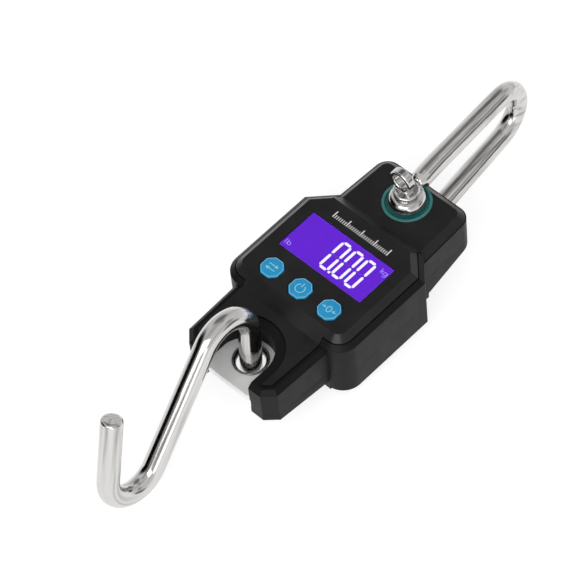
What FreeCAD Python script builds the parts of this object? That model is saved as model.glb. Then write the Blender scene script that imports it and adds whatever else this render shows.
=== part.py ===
"""Digital hanging scale: a plastic-cased load cell with a bow shackle above it and an S-hook below it.

The scale lies on its back.  Origin: the centre of the display block's rear face.
+X runs along the reading direction, +Y towards the shackle, +Z out of the display.  Millimetres.
"""
import FreeCAD, Part
import math
import os

import Sketcher

# ---------------------------------------------------------------- driving dimensions
DIMENSIONS = {
    # display block
    "block_width": 63.0,
    "block_length": 56.2,
    "block_depth": 31.6,
    "wall": 2.2,
    "parting_height": 11.6,
    "rim_top": 28.7,
    "rim_width": 2.1,
    "cover_foot": 29.0,
    "cover_skirt": 1.7,
    "cover_gap": 0.4,
    "top_chamfer": 9.5,
    "bottom_corner": 8.5,
    "rear_edge": 1.2,
    "cavity_floor": 2.2,
    "face_thickness": 2.4,
    "bridge_half_width": 20.2,
    "bridge_reach": 6.0,
    # upper neck, which carries the shackle pin
    "neck_root": 23.5,
    "neck_tip": 22.4,
    "neck_end": 55.4,
    "neck_corner": 6.0,
    "neck_shoulder": 23.6,
    "neck_bevel": 3.0,
    "neck_rear_root": 2.4,
    "neck_rear_tip": 8.4,
    "pad_height": 6.0,
    "pad_radius": 11.5,
    "rib_half_width": 10.8,
    "lower_rib_end": 33.5,
    # lower neck with its two arms and the notch between them
    "arm_root": 24.0,
    "arm_tip": 23.2,
    "arm_end": 58.6,
    "arm_corner": 4.6,
    "arm_rim": 26.0,
    "arm_bevel": 1.9,
    "arm_seat": 1.4,
    "arm_rear_root": 5.8,
    "arm_rear_tip": 8.4,
    "notch_radius": 12.4,
    "notch_centre": 48.6,
    "cover_lip": 4.0,
    "cover_inset": 3.7,
    # display and keys
    "display_centre": 3.4,
    "display_width": 42.5,
    "display_height": 19.8,
    "lens_thickness": 2.0,
    "lens_flange": 1.1,
    "lens_border": 0.9,
    "key_row": 16.4,
    "key_pitch": 14.9,
    "key_width": 9.0,
    "key_cut": 2.5,
    "key_gap": 0.2,
    "key_flange": 1.1,
    "key_plunger": 2.2,
    "key_proud": 0.5,
    "key_travel": 0.6,
    # load cell
    "cell_base": 13.0,
    "cell_plate": 3.2,
    "cell_beam": 6.0,
    "cell_half_width": 12.5,
    "cell_top": 52.4,
    "cell_tip": 58.1,
    "cell_fit": 0.2,
    "tip_corner": 3.0,
    "beam_half_length": 22.0,
    "web_bore": 2.2,
    "web_pitch": 6.5,
    "cell_screw_x": 8.6,
    "cell_screw_y": 29.6,
    "cell_screw_radius": 1.2,
    "cell_screw_head": 2.2,
    "cell_screw_head_height": 1.6,
    "cell_screw_foot": 6.0,
    # shackle and pin
    "pin_centre": 42.8,
    "pin_radius": 4.0,
    "pin_fit": 0.1,
    "pin_recess": 0.3,
    "bush_radius": 10.0,
    "dish_radius": 8.7,
    "dish_depth": 1.6,
    "eye_radius": 7.7,
    "eye_thickness": 4.4,
    "eye_gap": 0.4,
    "eye_blend": 10.0,
    "bow_rod": 4.1,
    "bow_root_span": 29.4,
    "leg_straight": 18.0,
    "leg_easing": 60.0,
    "bow_span": 25.1,
    "bow_centre": 59.2,
    "bow_mid_height": 16.3,
    "collar_radius": 5.4,
    "collar_height": 3.2,
    "lug_radius": 5.2,
    "lug_height": 4.2,
    "lug_shift": 1.6,
    "lug_thickness": 3.6,
    "lug_hole": 3.4,
    "lug_round": 0.7,
    "shackle_turn": 5.2,
    # hook and its eyelet
    "eyelet_centre": 45.3,
    "eyelet_radius": 6.65,
    "eyelet_bore": 5.9,
    "eyelet_flange": 7.3,
    "eyelet_flange_height": 0.5,
    "eyelet_fit": 0.05,
    "hook_rod": 4.4,
    "hook_bend": 12.4,
    "hook_neck": 16.5,
    "hook_tail": 8.0,
    "hook_shank": 50.7,
    "hook_tip": 29.6,
    "crown_turn": 144.5,
    "throat_turn": 153.4,
    "hook_lean": 10.2,
    "hook_roll": 6.2,
    "rod_end_round": 1.4,
    # batteries and their door
    "battery_radius": 5.1,
    "battery_length": 44.5,
    "battery_pitch": 10.6,
    "battery_height": 6.9,
    "tray_half_width": 16.3,
    "tray_wall": 1.6,
    "tray_end": 25.4,
    "tray_roof": 12.1,
    "tray_top": 12.8,
    "tray_room": 0.3,
    "plate_thickness": 0.4,
    "spring_radius": 3.0,
    "spring_wire": 0.35,
    "door_half_width": 18.5,
    "door_end": 24.6,
    "door_thickness": 1.4,
    "door_recess": 0.2,
    "door_gap": 0.2,
    "door_tongue": 1.0,
    "tongue_height": 0.75,
    "tongue_thickness": 0.55,
    # electronics
    "board_height": 20.6,
    "board_thickness": 1.6,
    "board_half_width": 21.5,
    "board_half_length": 23.0,
    "wing_half_width": 27.4,
    "board_screw_x": 25.0,
    "board_screw_low": 9.0,
    "board_screw_high": 5.0,
    "board_screw": 0.9,
    "board_post": 2.0,
    "switch_height": 4.3,
    "glass_thickness": 1.1,
    "glass_margin": 1.6,
    "backlight_thickness": 3.2,
    # housing screws
    "screw_radius": 1.4,
    "screw_head": 2.6,
    "screw_sink": 2.6,
    "screw_tip": 19.5,
    "screw_post": 2.9,
    "screw_x": 25.8,
    "screw_y": 18.2,
    "screw_shift": 3.6,
}

PLANES = {"XY": "XY_Plane", "XZ": "XZ_Plane", "YZ": "YZ_Plane"}


class Size:
    """A length that knows both its value and the spreadsheet formula that gives it."""

    def __init__(self, value, text):
        self.value = value
        self.text = text

    @staticmethod
    def of(other):
        if isinstance(other, Size):
            return other
        return Size(float(other), repr(float(other)))

    def combine(self, other, sign, value):
        return Size(value, "(" + self.text + sign + other.text + ")")

    def __add__(self, other):
        other = Size.of(other)
        return self.combine(other, " + ", self.value + other.value)

    def __radd__(self, other):
        return Size.of(other) + self

    def __sub__(self, other):
        other = Size.of(other)
        return self.combine(other, " - ", self.value - other.value)

    def __rsub__(self, other):
        return Size.of(other) - self

    def __mul__(self, other):
        other = Size.of(other)
        return self.combine(other, " * ", self.value * other.value)

    def __rmul__(self, other):
        return Size.of(other) * self

    def __truediv__(self, other):
        other = Size.of(other)
        return self.combine(other, " / ", self.value / other.value)

    def __neg__(self):
        return Size(-self.value, "(-1 * " + self.text + ")")


doc = FreeCAD.newDocument("HangingScale")
sheet = doc.addObject("Spreadsheet::Sheet", "Sheet")
for row, (alias, number) in enumerate(DIMENSIONS.items(), start=1):
    sheet.set("A%d" % row, alias)
    sheet.set("B%d" % row, str(number))
    sheet.setAlias("B%d" % row, alias)
doc.recompute()


def dim(alias):
    return Size(DIMENSIONS[alias], "Sheet." + alias)


def bind(target, prop, size):
    """Sets a property to a size and ties it to that size's formula."""
    size = Size.of(size)
    target.setExpression(prop, size.text)


# ---------------------------------------------------------------- PartDesign helpers
NODES = []


def new_body(label):
    body = doc.addObject("PartDesign::Body", label)
    body.Label = label
    NODES.append(body)
    return body


def new_sketch(body, plane, offset=0.0):
    """A sketch on one of the body's own origin planes, moved along the plane's normal."""
    sketch = body.newObject("Sketcher::SketchObject", body.Name + "_sketch")
    support = [f for f in body.Origin.OriginFeatures if f.Role == PLANES[plane]][0]
    sketch.AttachmentSupport = [(support, "")]
    sketch.MapMode = "FlatFace"
    bind(sketch, "AttachmentOffset.Base.z", offset)
    return sketch


def pin_point(sketch, geometry, position, x, y):
    """Dimensions one point of a sketch from the origin."""
    for axis, size in (("X", Size.of(x)), ("Y", Size.of(y))):
        if abs(size.value) < 1e-9:
            line = -2 if axis == "X" else -1
            sketch.addConstraint(Sketcher.Constraint("PointOnObject", geometry, position, line))
            continue
        index = sketch.addConstraint(
            Sketcher.Constraint("Distance" + axis, -1, 1, geometry, position, size.value))
        sketch.setExpression("Constraints[%d]" % index, size.text)


def quarter_arc(start, end, radius):
    """The counter-clockwise arc of a rounded convex corner."""
    chord = end - start
    half = chord.Length / 2
    inward = FreeCAD.Vector(-chord.y, chord.x, 0).normalize()
    centre = (start + end) * 0.5 + inward * math.sqrt(max(radius * radius - half * half, 0.0))
    circle = Part.Circle(centre, FreeCAD.Vector(0, 0, 1), radius)
    first, last = circle.parameter(start), circle.parameter(end)
    return Part.ArcOfCircle(circle, first, last)


def add_polygon(sketch, points, arcs=None):
    """A closed outline; arcs gives the radius of each side that is a rounded corner."""
    arcs = arcs or {}
    points = [(Size.of(x), Size.of(y)) for x, y in points]
    corners = [FreeCAD.Vector(x.value, y.value, 0) for x, y in points]
    first = sketch.GeometryCount
    count = len(corners)
    for index, corner in enumerate(corners):
        after = corners[(index + 1) % count]
        if index in arcs:
            sketch.addGeometry(quarter_arc(corner, after, arcs[index].value))
            bound = sketch.addConstraint(
                Sketcher.Constraint("Radius", first + index, arcs[index].value))
            sketch.setExpression("Constraints[%d]" % bound, arcs[index].text)
        else:
            sketch.addGeometry(Part.LineSegment(corner, after))
    for index in range(count):
        after = first + (index + 1) % count
        sketch.addConstraint(Sketcher.Constraint("Coincident", first + index, 2, after, 1))
    for index, (x, y) in enumerate(points):
        pin_point(sketch, first + index, 1, x, y)


def add_circle(sketch, x, y, radius):
    x, y, radius = Size.of(x), Size.of(y), Size.of(radius)
    centre = FreeCAD.Vector(x.value, y.value, 0)
    circle = sketch.addGeometry(Part.Circle(centre, FreeCAD.Vector(0, 0, 1), radius.value))
    index = sketch.addConstraint(Sketcher.Constraint("Radius", circle, radius.value))
    sketch.setExpression("Constraints[%d]" % index, radius.text)
    pin_point(sketch, circle, 3, x, y)


def add_arch(sketch, y, radius, foot):
    """A half circle about (0, y) with two straight legs that end at height foot."""
    y, radius, foot = Size.of(y), Size.of(radius), Size.of(foot)
    up = 1.0 if foot.value < y.value else -1.0
    centre = FreeCAD.Vector(0, y.value, 0)
    circle = Part.Circle(centre, FreeCAD.Vector(0, 0, 1), radius.value)
    start = 0.0 if up > 0 else math.pi
    arc = sketch.addGeometry(Part.ArcOfCircle(circle, start, start + math.pi))
    side = radius.value * up
    right_top = FreeCAD.Vector(side, y.value, 0)
    left_top = FreeCAD.Vector(-side, y.value, 0)
    right_foot = FreeCAD.Vector(side, foot.value, 0)
    left_foot = FreeCAD.Vector(-side, foot.value, 0)
    left = sketch.addGeometry(Part.LineSegment(left_top, left_foot))
    base = sketch.addGeometry(Part.LineSegment(left_foot, right_foot))
    right = sketch.addGeometry(Part.LineSegment(right_foot, right_top))
    sketch.addConstraint(Sketcher.Constraint("Coincident", arc, 2, left, 1))
    sketch.addConstraint(Sketcher.Constraint("Coincident", left, 2, base, 1))
    sketch.addConstraint(Sketcher.Constraint("Coincident", base, 2, right, 1))
    sketch.addConstraint(Sketcher.Constraint("Coincident", right, 2, arc, 1))
    pin_point(sketch, arc, 3, 0, y)
    pin_point(sketch, left, 1, -radius * up, y)
    level = sketch.addConstraint(Sketcher.Constraint("DistanceY", -1, 1, right, 2, y.value))
    sketch.setExpression("Constraints[%d]" % level, y.text)
    pin_point(sketch, base, 1, -radius * up, foot)
    pin_point(sketch, base, 2, radius * up, foot)


def shape_sketch(body, plane, points, offset=0.0, arcs=None):
    sketch = new_sketch(body, plane, offset)
    add_polygon(sketch, points, arcs)
    return sketch


def disc_sketch(body, plane, x, y, radius, offset=0.0):
    sketch = new_sketch(body, plane, offset)
    add_circle(sketch, x, y, radius)
    return sketch


def pad(body, sketch, length, both_ways=False, taper=0.0):
    feature = body.newObject("PartDesign::Pad", body.Name + "_pad")
    feature.Profile = sketch
    bind(feature, "Length", length)
    if both_ways:
        feature.Midplane = True
    if taper:
        feature.TaperAngle = taper
    doc.recompute()
    return feature


def pocket(body, sketch, length, both_ways=False):
    """Cuts down from the sketch and makes sure that material was removed."""
    before = body.Shape.Volume
    feature = body.newObject("PartDesign::Pocket", body.Name + "_pocket")
    feature.Profile = sketch
    bind(feature, "Length", length)
    if both_ways:
        feature.Midplane = True
    doc.recompute()
    if body.Shape.Volume > before - 1e-6:
        raise RuntimeError(body.Label + ": " + feature.Name + " cut nothing")
    return feature


def edge_names(shape, wanted):
    return ["Edge%d" % (i + 1) for i, edge in enumerate(shape.Edges) if wanted(edge)]


def break_edges(body, kind, size, wanted):
    """Adds a Fillet or Chamfer to the edges of the body that the test picks."""
    base = body.Tip
    names = edge_names(base.Shape, wanted)
    if not names:
        raise RuntimeError(body.Label + ": no edge to " + kind)
    feature = body.newObject("PartDesign::" + kind, body.Name + "_" + kind.lower())
    feature.Base = (base, names)
    bind(feature, "Radius" if kind == "Fillet" else "Size", size)
    doc.recompute()
    if "Invalid" in feature.State:
        raise RuntimeError(body.Label + ": " + feature.Name + " failed")
    return feature


def is_upright(edge):
    """True for an edge that runs along Z."""
    box = edge.BoundBox
    return box.XLength < 1e-4 and box.YLength < 1e-4 and box.ZLength > 0.1


def lies_at(edge, height):
    box = edge.BoundBox
    return abs(box.ZMin - height.value) < 1e-4 and abs(box.ZMax - height.value) < 1e-4


def middle(edge):
    return edge.BoundBox.Center


# ---------------------------------------------------------------- Part helpers
def place(obj, x, y, z, axis=None, angle=0.0):
    """Binds an object's position, and turns it about an axis through its own origin."""
    x, y, z = Size.of(x), Size.of(y), Size.of(z)
    rotation = FreeCAD.Rotation(axis or FreeCAD.Vector(0, 0, 1), angle)
    obj.Placement = FreeCAD.Placement(FreeCAD.Vector(x.value, y.value, z.value), rotation)
    for letter, size in (("x", x), ("y", y), ("z", z)):
        obj.setExpression("Placement.Base." + letter, size.text)


def box(name, length, width, height, x, y, z):
    """A box centred on (x, y) whose lowest face is at z."""
    solid = doc.addObject("Part::Box", name)
    length, width, height = Size.of(length), Size.of(width), Size.of(height)
    bind(solid, "Length", length)
    bind(solid, "Width", width)
    bind(solid, "Height", height)
    place(solid, Size.of(x) - length / 2, Size.of(y) - width / 2, z)
    return solid


def cylinder(name, radius, height, x, y, z, axis=None, angle=0.0):
    solid = doc.addObject("Part::Cylinder", name)
    bind(solid, "Radius", radius)
    bind(solid, "Height", height)
    place(solid, x, y, z, axis, angle)
    return solid


def group(label, solids):
    """Several separate solids that make one node."""
    node = doc.addObject("Part::Compound", label)
    node.Links = solids
    node.Label = label
    NODES.append(node)
    return node


def cut(name, base, tool):
    result = doc.addObject("Part::Cut", name)
    result.Base = base
    result.Tool = tool
    return result


def fuse(name, solids):
    result = doc.addObject("Part::MultiFuse", name)
    result.Shapes = solids
    return result


def node(label, obj):
    obj.Label = label
    NODES.append(obj)
    return obj


# ---------------------------------------------------------------- shared sizes
HALF_WIDTH = dim("block_width") / 2
HALF_LENGTH = dim("block_length") / 2
FAR = 90.0
NECK_TOP = dim("neck_shoulder") + dim("neck_bevel")
ARM_END = -dim("arm_end")
NOTCH_Y = -dim("notch_centre")
KEY_Y = -dim("key_row")
EYELET_Y = -dim("eyelet_centre")
PIN_Y = dim("pin_centre")
PARTING = dim("parting_height")
CELL_FACE = dim("cell_base") + dim("cell_plate")
CELL_MIDDLE = dim("cell_base") + dim("cell_plate") / 2
FACE_UNDERSIDE = dim("block_depth") - dim("face_thickness")
SEAT_FLOOR = dim("cover_foot") - dim("cover_skirt")
ARM_SEAT_FLOOR = dim("arm_rim") - dim("arm_seat")
COVER_INSET = dim("rim_width") + dim("cover_gap")
BOARD_TOP = dim("board_height") + dim("board_thickness")
DOOR_BOTTOM = dim("door_recess")
DOOR_TOP = DOOR_BOTTOM + dim("door_thickness")
CORNER_LOSS = 2.0 - math.sqrt(2.0)


def signs():
    return (1, -1)


def block_sketch(body, inset, offset):
    """The display block's outline: chamfered upper corners and rounded lower ones."""
    side = HALF_WIDTH - inset
    end = HALF_LENGTH - inset
    chamfer = dim("top_chamfer") - Size.of(inset) * CORNER_LOSS
    radius = dim("bottom_corner") - inset
    outline = [
        (side, radius - end), (side, end - chamfer), (side - chamfer, end),
        (chamfer - side, end), (-side, end - chamfer), (-side, radius - end),
        (radius - side, -end), (side - radius, -end),
    ]
    return shape_sketch(body, "XY", outline, offset, {5: radius, 7: radius})


def upper_neck_outline(inset, root_depth):
    """The tapering neck that carries the shackle pin; it starts root_depth inside the block."""
    root = dim("neck_root") - inset
    tip = dim("neck_tip") - inset
    end = dim("neck_end") - inset
    return [
        (root, HALF_LENGTH - root_depth), (root, HALF_LENGTH), (tip, end),
        (-tip, end), (-root, HALF_LENGTH), (-root, HALF_LENGTH - root_depth),
    ]


def lower_neck_outline(inset, root_depth):
    """The lower neck with the chamfered ends of its two arms."""
    root = dim("arm_root") - inset
    tip = dim("arm_tip") - inset
    end = ARM_END + inset
    chamfer = dim("arm_corner") - Size.of(inset) * CORNER_LOSS
    top = root_depth - HALF_LENGTH
    return [
        (root, top), (-root, top), (-root, -HALF_LENGTH), (-tip, end + chamfer),
        (chamfer - tip, end), (tip - chamfer, end), (tip, end + chamfer), (root, -HALF_LENGTH),
    ]


def cut_shape(body, points, top, depth):
    pocket(body, shape_sketch(body, "XY", points, top), depth)


def cut_rectangle(body, half_width, y_low, y_high, bottom, top):
    corners = [(half_width, y_low), (half_width, y_high),
               (-half_width, y_high), (-half_width, y_low)]
    cut_shape(body, corners, top, top - bottom)


def pad_rectangle(body, half_width, y_low, y_high, bottom, top):
    corners = [(half_width, y_low), (half_width, y_high),
               (-half_width, y_high), (-half_width, y_low)]
    pad(body, shape_sketch(body, "XY", corners, bottom), top - bottom)


def cut_disc(body, x, y, radius, bottom, top):
    pocket(body, disc_sketch(body, "XY", x, y, radius, top), top - bottom)


def pad_disc(body, x, y, radius, bottom, top):
    pad(body, disc_sketch(body, "XY", x, y, radius, bottom), top - bottom)


def cut_notch(body, radius, top):
    """The U between the arms, open towards the hook."""
    sketch = new_sketch(body, "XY", top)
    add_arch(sketch, NOTCH_Y, radius, -FAR)
    pocket(body, sketch, top)


def round_neck_corners(body, inset):
    def end_corner(edge):
        at = middle(edge)
        return is_upright(edge) and abs(at.y - (dim("neck_end") - inset).value) < 0.1

    break_edges(body, "Fillet", dim("neck_corner") - inset, end_corner)


def screw_places():
    x, y = dim("screw_x"), dim("screw_y")
    raised = y - dim("screw_shift")
    return [(x, -y), (-x, -y), (x, raised), (-x, raised)]


def board_screw_places():
    x = dim("board_screw_x")
    low, high = dim("board_screw_low"), dim("board_screw_high")
    return [(x, -low), (-x, -low), (x, high), (-x, high)]


def cell_screw_places():
    return [(side * dim("cell_screw_x"), dim("cell_screw_y")) for side in signs()]


# ---------------------------------------------------------------- case
def make_rear_shell():
    body = new_body("rear_shell")
    floor = dim("cavity_floor")
    pad(body, block_sketch(body, 0, 0), PARTING)
    break_edges(body, "Chamfer", dim("rear_edge"), lambda edge: lies_at(edge, Size.of(0)))
    pad(body, shape_sketch(body, "XY", upper_neck_outline(0, 5.0)), PARTING)
    round_neck_corners(body, 0)
    pad(body, shape_sketch(body, "XY", lower_neck_outline(0, 5.0)), PARTING)
    # The necks get thinner towards their ends: the space behind their sloping backs is cut away.
    behind_neck = [
        (HALF_LENGTH, -1), (FAR, -1), (FAR, dim("neck_rear_tip")),
        (dim("neck_end"), dim("neck_rear_tip")), (HALF_LENGTH, dim("neck_rear_root")),
    ]
    pocket(body, shape_sketch(body, "YZ", behind_neck), FAR, both_ways=True)
    behind_arms = [
        (-HALF_LENGTH, -1), (-HALF_LENGTH, dim("arm_rear_root")),
        (ARM_END, dim("arm_rear_tip")), (-FAR, dim("arm_rear_tip")), (-FAR, -1),
    ]
    pocket(body, shape_sketch(body, "YZ", behind_arms), FAR, both_ways=True)
    pad_disc(body, 0, PIN_Y, dim("pad_radius"), dim("pad_height"), PARTING)
    cut_notch(body, dim("notch_radius"), PARTING)
    # The main cavity and the battery tray that stands in it.
    pocket(body, block_sketch(body, dim("wall"), PARTING), PARTING - floor)
    inner_end = HALF_LENGTH - dim("wall")
    tray_side = dim("tray_half_width") + dim("tray_wall")
    pad_rectangle(body, tray_side, -inner_end, inner_end, floor - 0.3, dim("tray_top"))
    cut_rectangle(body, dim("tray_half_width"), -dim("tray_end"), dim("tray_end"), 0, dim("tray_roof"))
    # Ribs that carry the load cell in the two necks.
    pad_rectangle(body, dim("rib_half_width"), inner_end, dim("cell_top") - 1, PARTING - 1, dim("tray_top"))
    pad_rectangle(body, dim("rib_half_width"), -dim("lower_rib_end"), -inner_end,
                  PARTING - 1, dim("tray_top"))
    # The door's seat is open at the block's lower end and has a groove along each side.
    seat = dim("door_half_width") + dim("door_gap")
    seat_end = dim("door_end") + dim("door_gap")
    cut_rectangle(body, seat, -FAR, seat_end, 0, DOOR_TOP + 0.1)
    groove = seat + dim("door_tongue")
    cut_rectangle(body, groove, -FAR, seat_end,
                  dim("tongue_height") - 0.15, dim("tongue_height") + dim("tongue_thickness") + 0.15)
    cut_disc(body, 0, PIN_Y, dim("bush_radius") + dim("pin_fit"), 0, FAR)
    for x, y in screw_places():
        pad_disc(body, x, y, dim("screw_head") + 1.0, floor - 0.3, PARTING)
        cut_disc(body, x, y, dim("screw_radius") + 0.2, 0, PARTING)
        cut_disc(body, x, y, dim("screw_head") + 0.2, 0, dim("screw_sink"))
    for x, y in cell_screw_places():
        cut_disc(body, x, y, dim("cell_screw_radius") + 0.05, dim("cell_screw_foot") - 0.4, dim("tray_top"))


def make_front_shell():
    body = new_body("front_shell")
    rim = dim("rim_top")
    shoulder = dim("neck_shoulder")
    lower = shape_sketch(body, "XY", lower_neck_outline(0, 5.0), PARTING)
    pad(body, lower, dim("arm_rim") - PARTING)

    def arm_rim(edge):
        return lies_at(edge, dim("arm_rim")) and middle(edge).y < -HALF_LENGTH.value - 1.0

    break_edges(body, "Chamfer", dim("arm_bevel"), arm_rim)
    pad(body, block_sketch(body, 0, PARTING), rim - PARTING)
    break_edges(body, "Chamfer", dim("rim_width"), lambda edge: lies_at(edge, rim))
    upper = shape_sketch(body, "XY", upper_neck_outline(0, 5.0), PARTING)
    pad(body, upper, shoulder - PARTING)
    round_neck_corners(body, 0)
    # Seats for the cover: inside the block's rim, across the root of the upper neck, along the arms.
    pocket(body, block_sketch(body, dim("rim_width"), rim), rim - SEAT_FLOOR)
    gap = dim("cover_gap") / 2
    cut_rectangle(body, dim("bridge_half_width") + gap, 0, HALF_LENGTH, shoulder, rim)
    arm_seat = lower_neck_outline(dim("cover_inset") - gap, 6.0)
    cut_shape(body, arm_seat, rim, rim - dim("arm_rim") + dim("arm_seat"))
    # A raised lip runs round the notch, just inside the cover's own cut-out.
    lip = new_sketch(body, "XY", ARM_SEAT_FLOOR - 0.2)
    add_arch(lip, NOTCH_Y, dim("notch_radius") + dim("cover_lip") - gap, ARM_END + dim("cover_inset") - 0.4)
    pad(body, lip, dim("arm_seat") + 0.2)
    cut_notch(body, dim("notch_radius"), rim)
    # The hollow for the electronics, open to the parting plane.
    pocket(body, block_sketch(body, dim("wall") + 1.0, SEAT_FLOOR), SEAT_FLOOR - PARTING)
    # Room for the battery tray, whose top stands above the parting plane.
    tray_side = dim("tray_half_width") + dim("tray_wall") + dim("tray_room")
    tray_reach = HALF_LENGTH - dim("wall") + dim("cell_fit")
    cut_rectangle(body, tray_side, -tray_reach, tray_reach, PARTING, dim("tray_top") + dim("tray_room"))
    # The channel that the load cell lies in.
    fit = dim("cell_fit")
    reach = dim("cell_half_width") + fit
    cut_rectangle(body, reach, -FAR, dim("cell_top") + fit, PARTING, CELL_FACE + fit)
    cut_disc(body, 0, PIN_Y, dim("bush_radius") + dim("pin_fit"), PARTING, shoulder)
    for x, y in screw_places():
        pad_disc(body, x, y, dim("screw_post"), PARTING, SEAT_FLOOR)
        cut_disc(body, x, y, dim("screw_radius") + 0.05, PARTING, dim("screw_tip") + 0.5)
    for x, y in cell_screw_places():
        cut_disc(body, x, y, dim("cell_screw_head") + 0.3, PARTING,
                 CELL_FACE + dim("cell_screw_head_height") + 0.3)


def key_outline(gap):
    """One octagonal key."""
    half = dim("key_width") / 2 + gap
    corner = half - dim("key_cut") - Size.of(gap) * (CORNER_LOSS - 1.0)
    return [
        (half, -corner), (half, corner), (corner, half), (-corner, half),
        (-half, corner), (-half, -corner), (-corner, -half), (corner, -half),
    ]


def moved(points, x, y):
    return [(Size.of(px) + x, Size.of(py) + y) for px, py in points]


def display_outline(border):
    half_width = dim("display_width") / 2 + border
    half_height = dim("display_height") / 2 + border
    corners = [(half_width, -half_height), (half_width, half_height),
               (-half_width, half_height), (-half_width, -half_height)]
    return moved(corners, 0, dim("display_centre"))


def make_front_cover():
    body = new_body("front_cover")
    face = dim("block_depth")
    shoulder = dim("neck_shoulder")
    # The raised face and the 45 degree bevel round it.
    pad(body, block_sketch(body, COVER_INSET, SEAT_FLOOR), face - SEAT_FLOOR)
    break_edges(body, "Chamfer", face - dim("cover_foot"), lambda edge: lies_at(edge, face))
    pocket(body, block_sketch(body, COVER_INSET + 1.8, FACE_UNDERSIDE), FACE_UNDERSIDE - SEAT_FLOOR)
    # The plate on the upper neck: its bevel ends at the block's wall.
    inset = dim("cover_gap")
    root_line = HALF_LENGTH + 0.2
    corner = HALF_WIDTH - dim("top_chamfer")
    root = dim("neck_root") - inset
    tip = dim("neck_tip") - inset
    end = dim("neck_end") - inset
    step = root - corner
    neck_plate = [
        (corner, root_line), (root, root_line - step), (tip, end),
        (-tip, end), (-root, root_line - step), (-corner, root_line),
    ]
    pad(body, shape_sketch(body, "XY", neck_plate, shoulder), dim("neck_bevel"))
    round_neck_corners(body, inset)

    def neck_rim(edge):
        at = middle(edge)
        return lies_at(edge, NECK_TOP) and at.y > HALF_LENGTH.value + 0.5

    break_edges(body, "Chamfer", dim("neck_bevel") - 0.1, neck_rim)
    # The slopes from the display face down to both necks, and the plates that carry them.
    slope_foot = HALF_LENGTH
    slope_head = HALF_LENGTH - (face - NECK_TOP)
    for side, foot in ((1, shoulder), (-1, ARM_SEAT_FLOOR)):
        inner = HALF_LENGTH - dim("bridge_reach")
        slope = [
            (inner * side, foot), ((root_line + 0.6) * side, foot),
            ((root_line + 0.6) * side, NECK_TOP), (slope_foot * side, NECK_TOP),
            (slope_head * side, face), (inner * side, face),
        ]
        sketch = shape_sketch(body, "YZ", slope)
        pad(body, sketch, dim("bridge_half_width") * 2, both_ways=True)
    arm_plate = lower_neck_outline(dim("cover_inset"), 0.2)
    pad(body, shape_sketch(body, "XY", arm_plate, ARM_SEAT_FLOOR), NECK_TOP - ARM_SEAT_FLOOR)
    cut_notch(body, dim("notch_radius") + dim("cover_lip"), FAR)
    cut_disc(body, 0, PIN_Y, dim("bush_radius") + dim("pin_fit"), shoulder, NECK_TOP)
    # The display window, the seat of its lens and the three key holes.
    cut_shape(body, display_outline(0), face, dim("face_thickness"))
    lens_seat = FACE_UNDERSIDE + dim("lens_flange") + 0.1
    cut_shape(body, display_outline(dim("lens_border")), lens_seat, lens_seat - FACE_UNDERSIDE)
    for column in (-1, 0, 1):
        hole = moved(key_outline(dim("key_gap")), dim("key_pitch") * column, KEY_Y)
        cut_shape(body, hole, face, dim("face_thickness"))
    for x, y in board_screw_places():
        pad_disc(body, x, y, dim("board_post"), BOARD_TOP, FACE_UNDERSIDE + 0.2)
        cut_disc(body, x, y, dim("board_screw") + 0.05, BOARD_TOP, FACE_UNDERSIDE - 1)


def make_battery_door():
    body = new_body("battery_door")
    end = dim("door_end")
    lower_end = -(HALF_LENGTH - 0.2)
    pad_rectangle(body, dim("door_half_width"), lower_end, end, DOOR_BOTTOM, DOOR_TOP)

    def lower_edge(edge):
        return lies_at(edge, DOOR_BOTTOM) and middle(edge).y < lower_end.value + 0.1

    break_edges(body, "Chamfer", dim("rear_edge") - 0.2, lower_edge)
    pad_rectangle(body, dim("door_half_width") + dim("door_tongue"), lower_end + 3, end - 3,
                  dim("tongue_height"), dim("tongue_height") + dim("tongue_thickness"))
    for groove in range(4):
        y = lower_end + 6 + 1.8 * groove
        cut_rectangle(body, 7.0, y, y + 0.9, DOOR_BOTTOM, DOOR_BOTTOM + 0.5)


# ---------------------------------------------------------------- display and keys
def make_display_lens():
    body = new_body("display_lens")
    flange = display_outline(dim("lens_border") - 0.15)
    pad(body, shape_sketch(body, "XY", flange, FACE_UNDERSIDE), dim("lens_flange"))
    window = shape_sketch(body, "XY", display_outline(-0.1), FACE_UNDERSIDE)
    pad(body, window, dim("lens_thickness"))
    top = FACE_UNDERSIDE + dim("lens_thickness")
    break_edges(body, "Chamfer", 0.3, lambda edge: lies_at(edge, top))


def make_keys():
    for column, name in ((-1, "unit_button"), (0, "power_button"), (1, "tare_button")):
        body = new_body(name)
        flange_top = FACE_UNDERSIDE - 0.1
        flange_base = flange_top - dim("key_flange")
        plunger_base = BOARD_TOP + dim("switch_height") + dim("key_travel") + 0.1
        top = dim("block_depth") + dim("key_proud")
        pad_disc(body, 0, 0, dim("key_plunger"), plunger_base, flange_base + 0.2)
        flange = shape_sketch(body, "XY", key_outline(1.0), flange_base)
        pad(body, flange, dim("key_flange"))
        pad(body, shape_sketch(body, "XY", key_outline(0), flange_base), top - flange_base)
        break_edges(body, "Fillet", 0.6, lambda edge: is_key_corner(edge, top))
        break_edges(body, "Chamfer", 0.45, lambda edge: lies_at(edge, top))
        place(body, dim("key_pitch") * column, KEY_Y, 0)


def is_key_corner(edge, top):
    """True for the eight upright edges of a key's cap."""
    return is_upright(edge) and abs(edge.BoundBox.ZMax - top.value) < 1e-3


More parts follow.
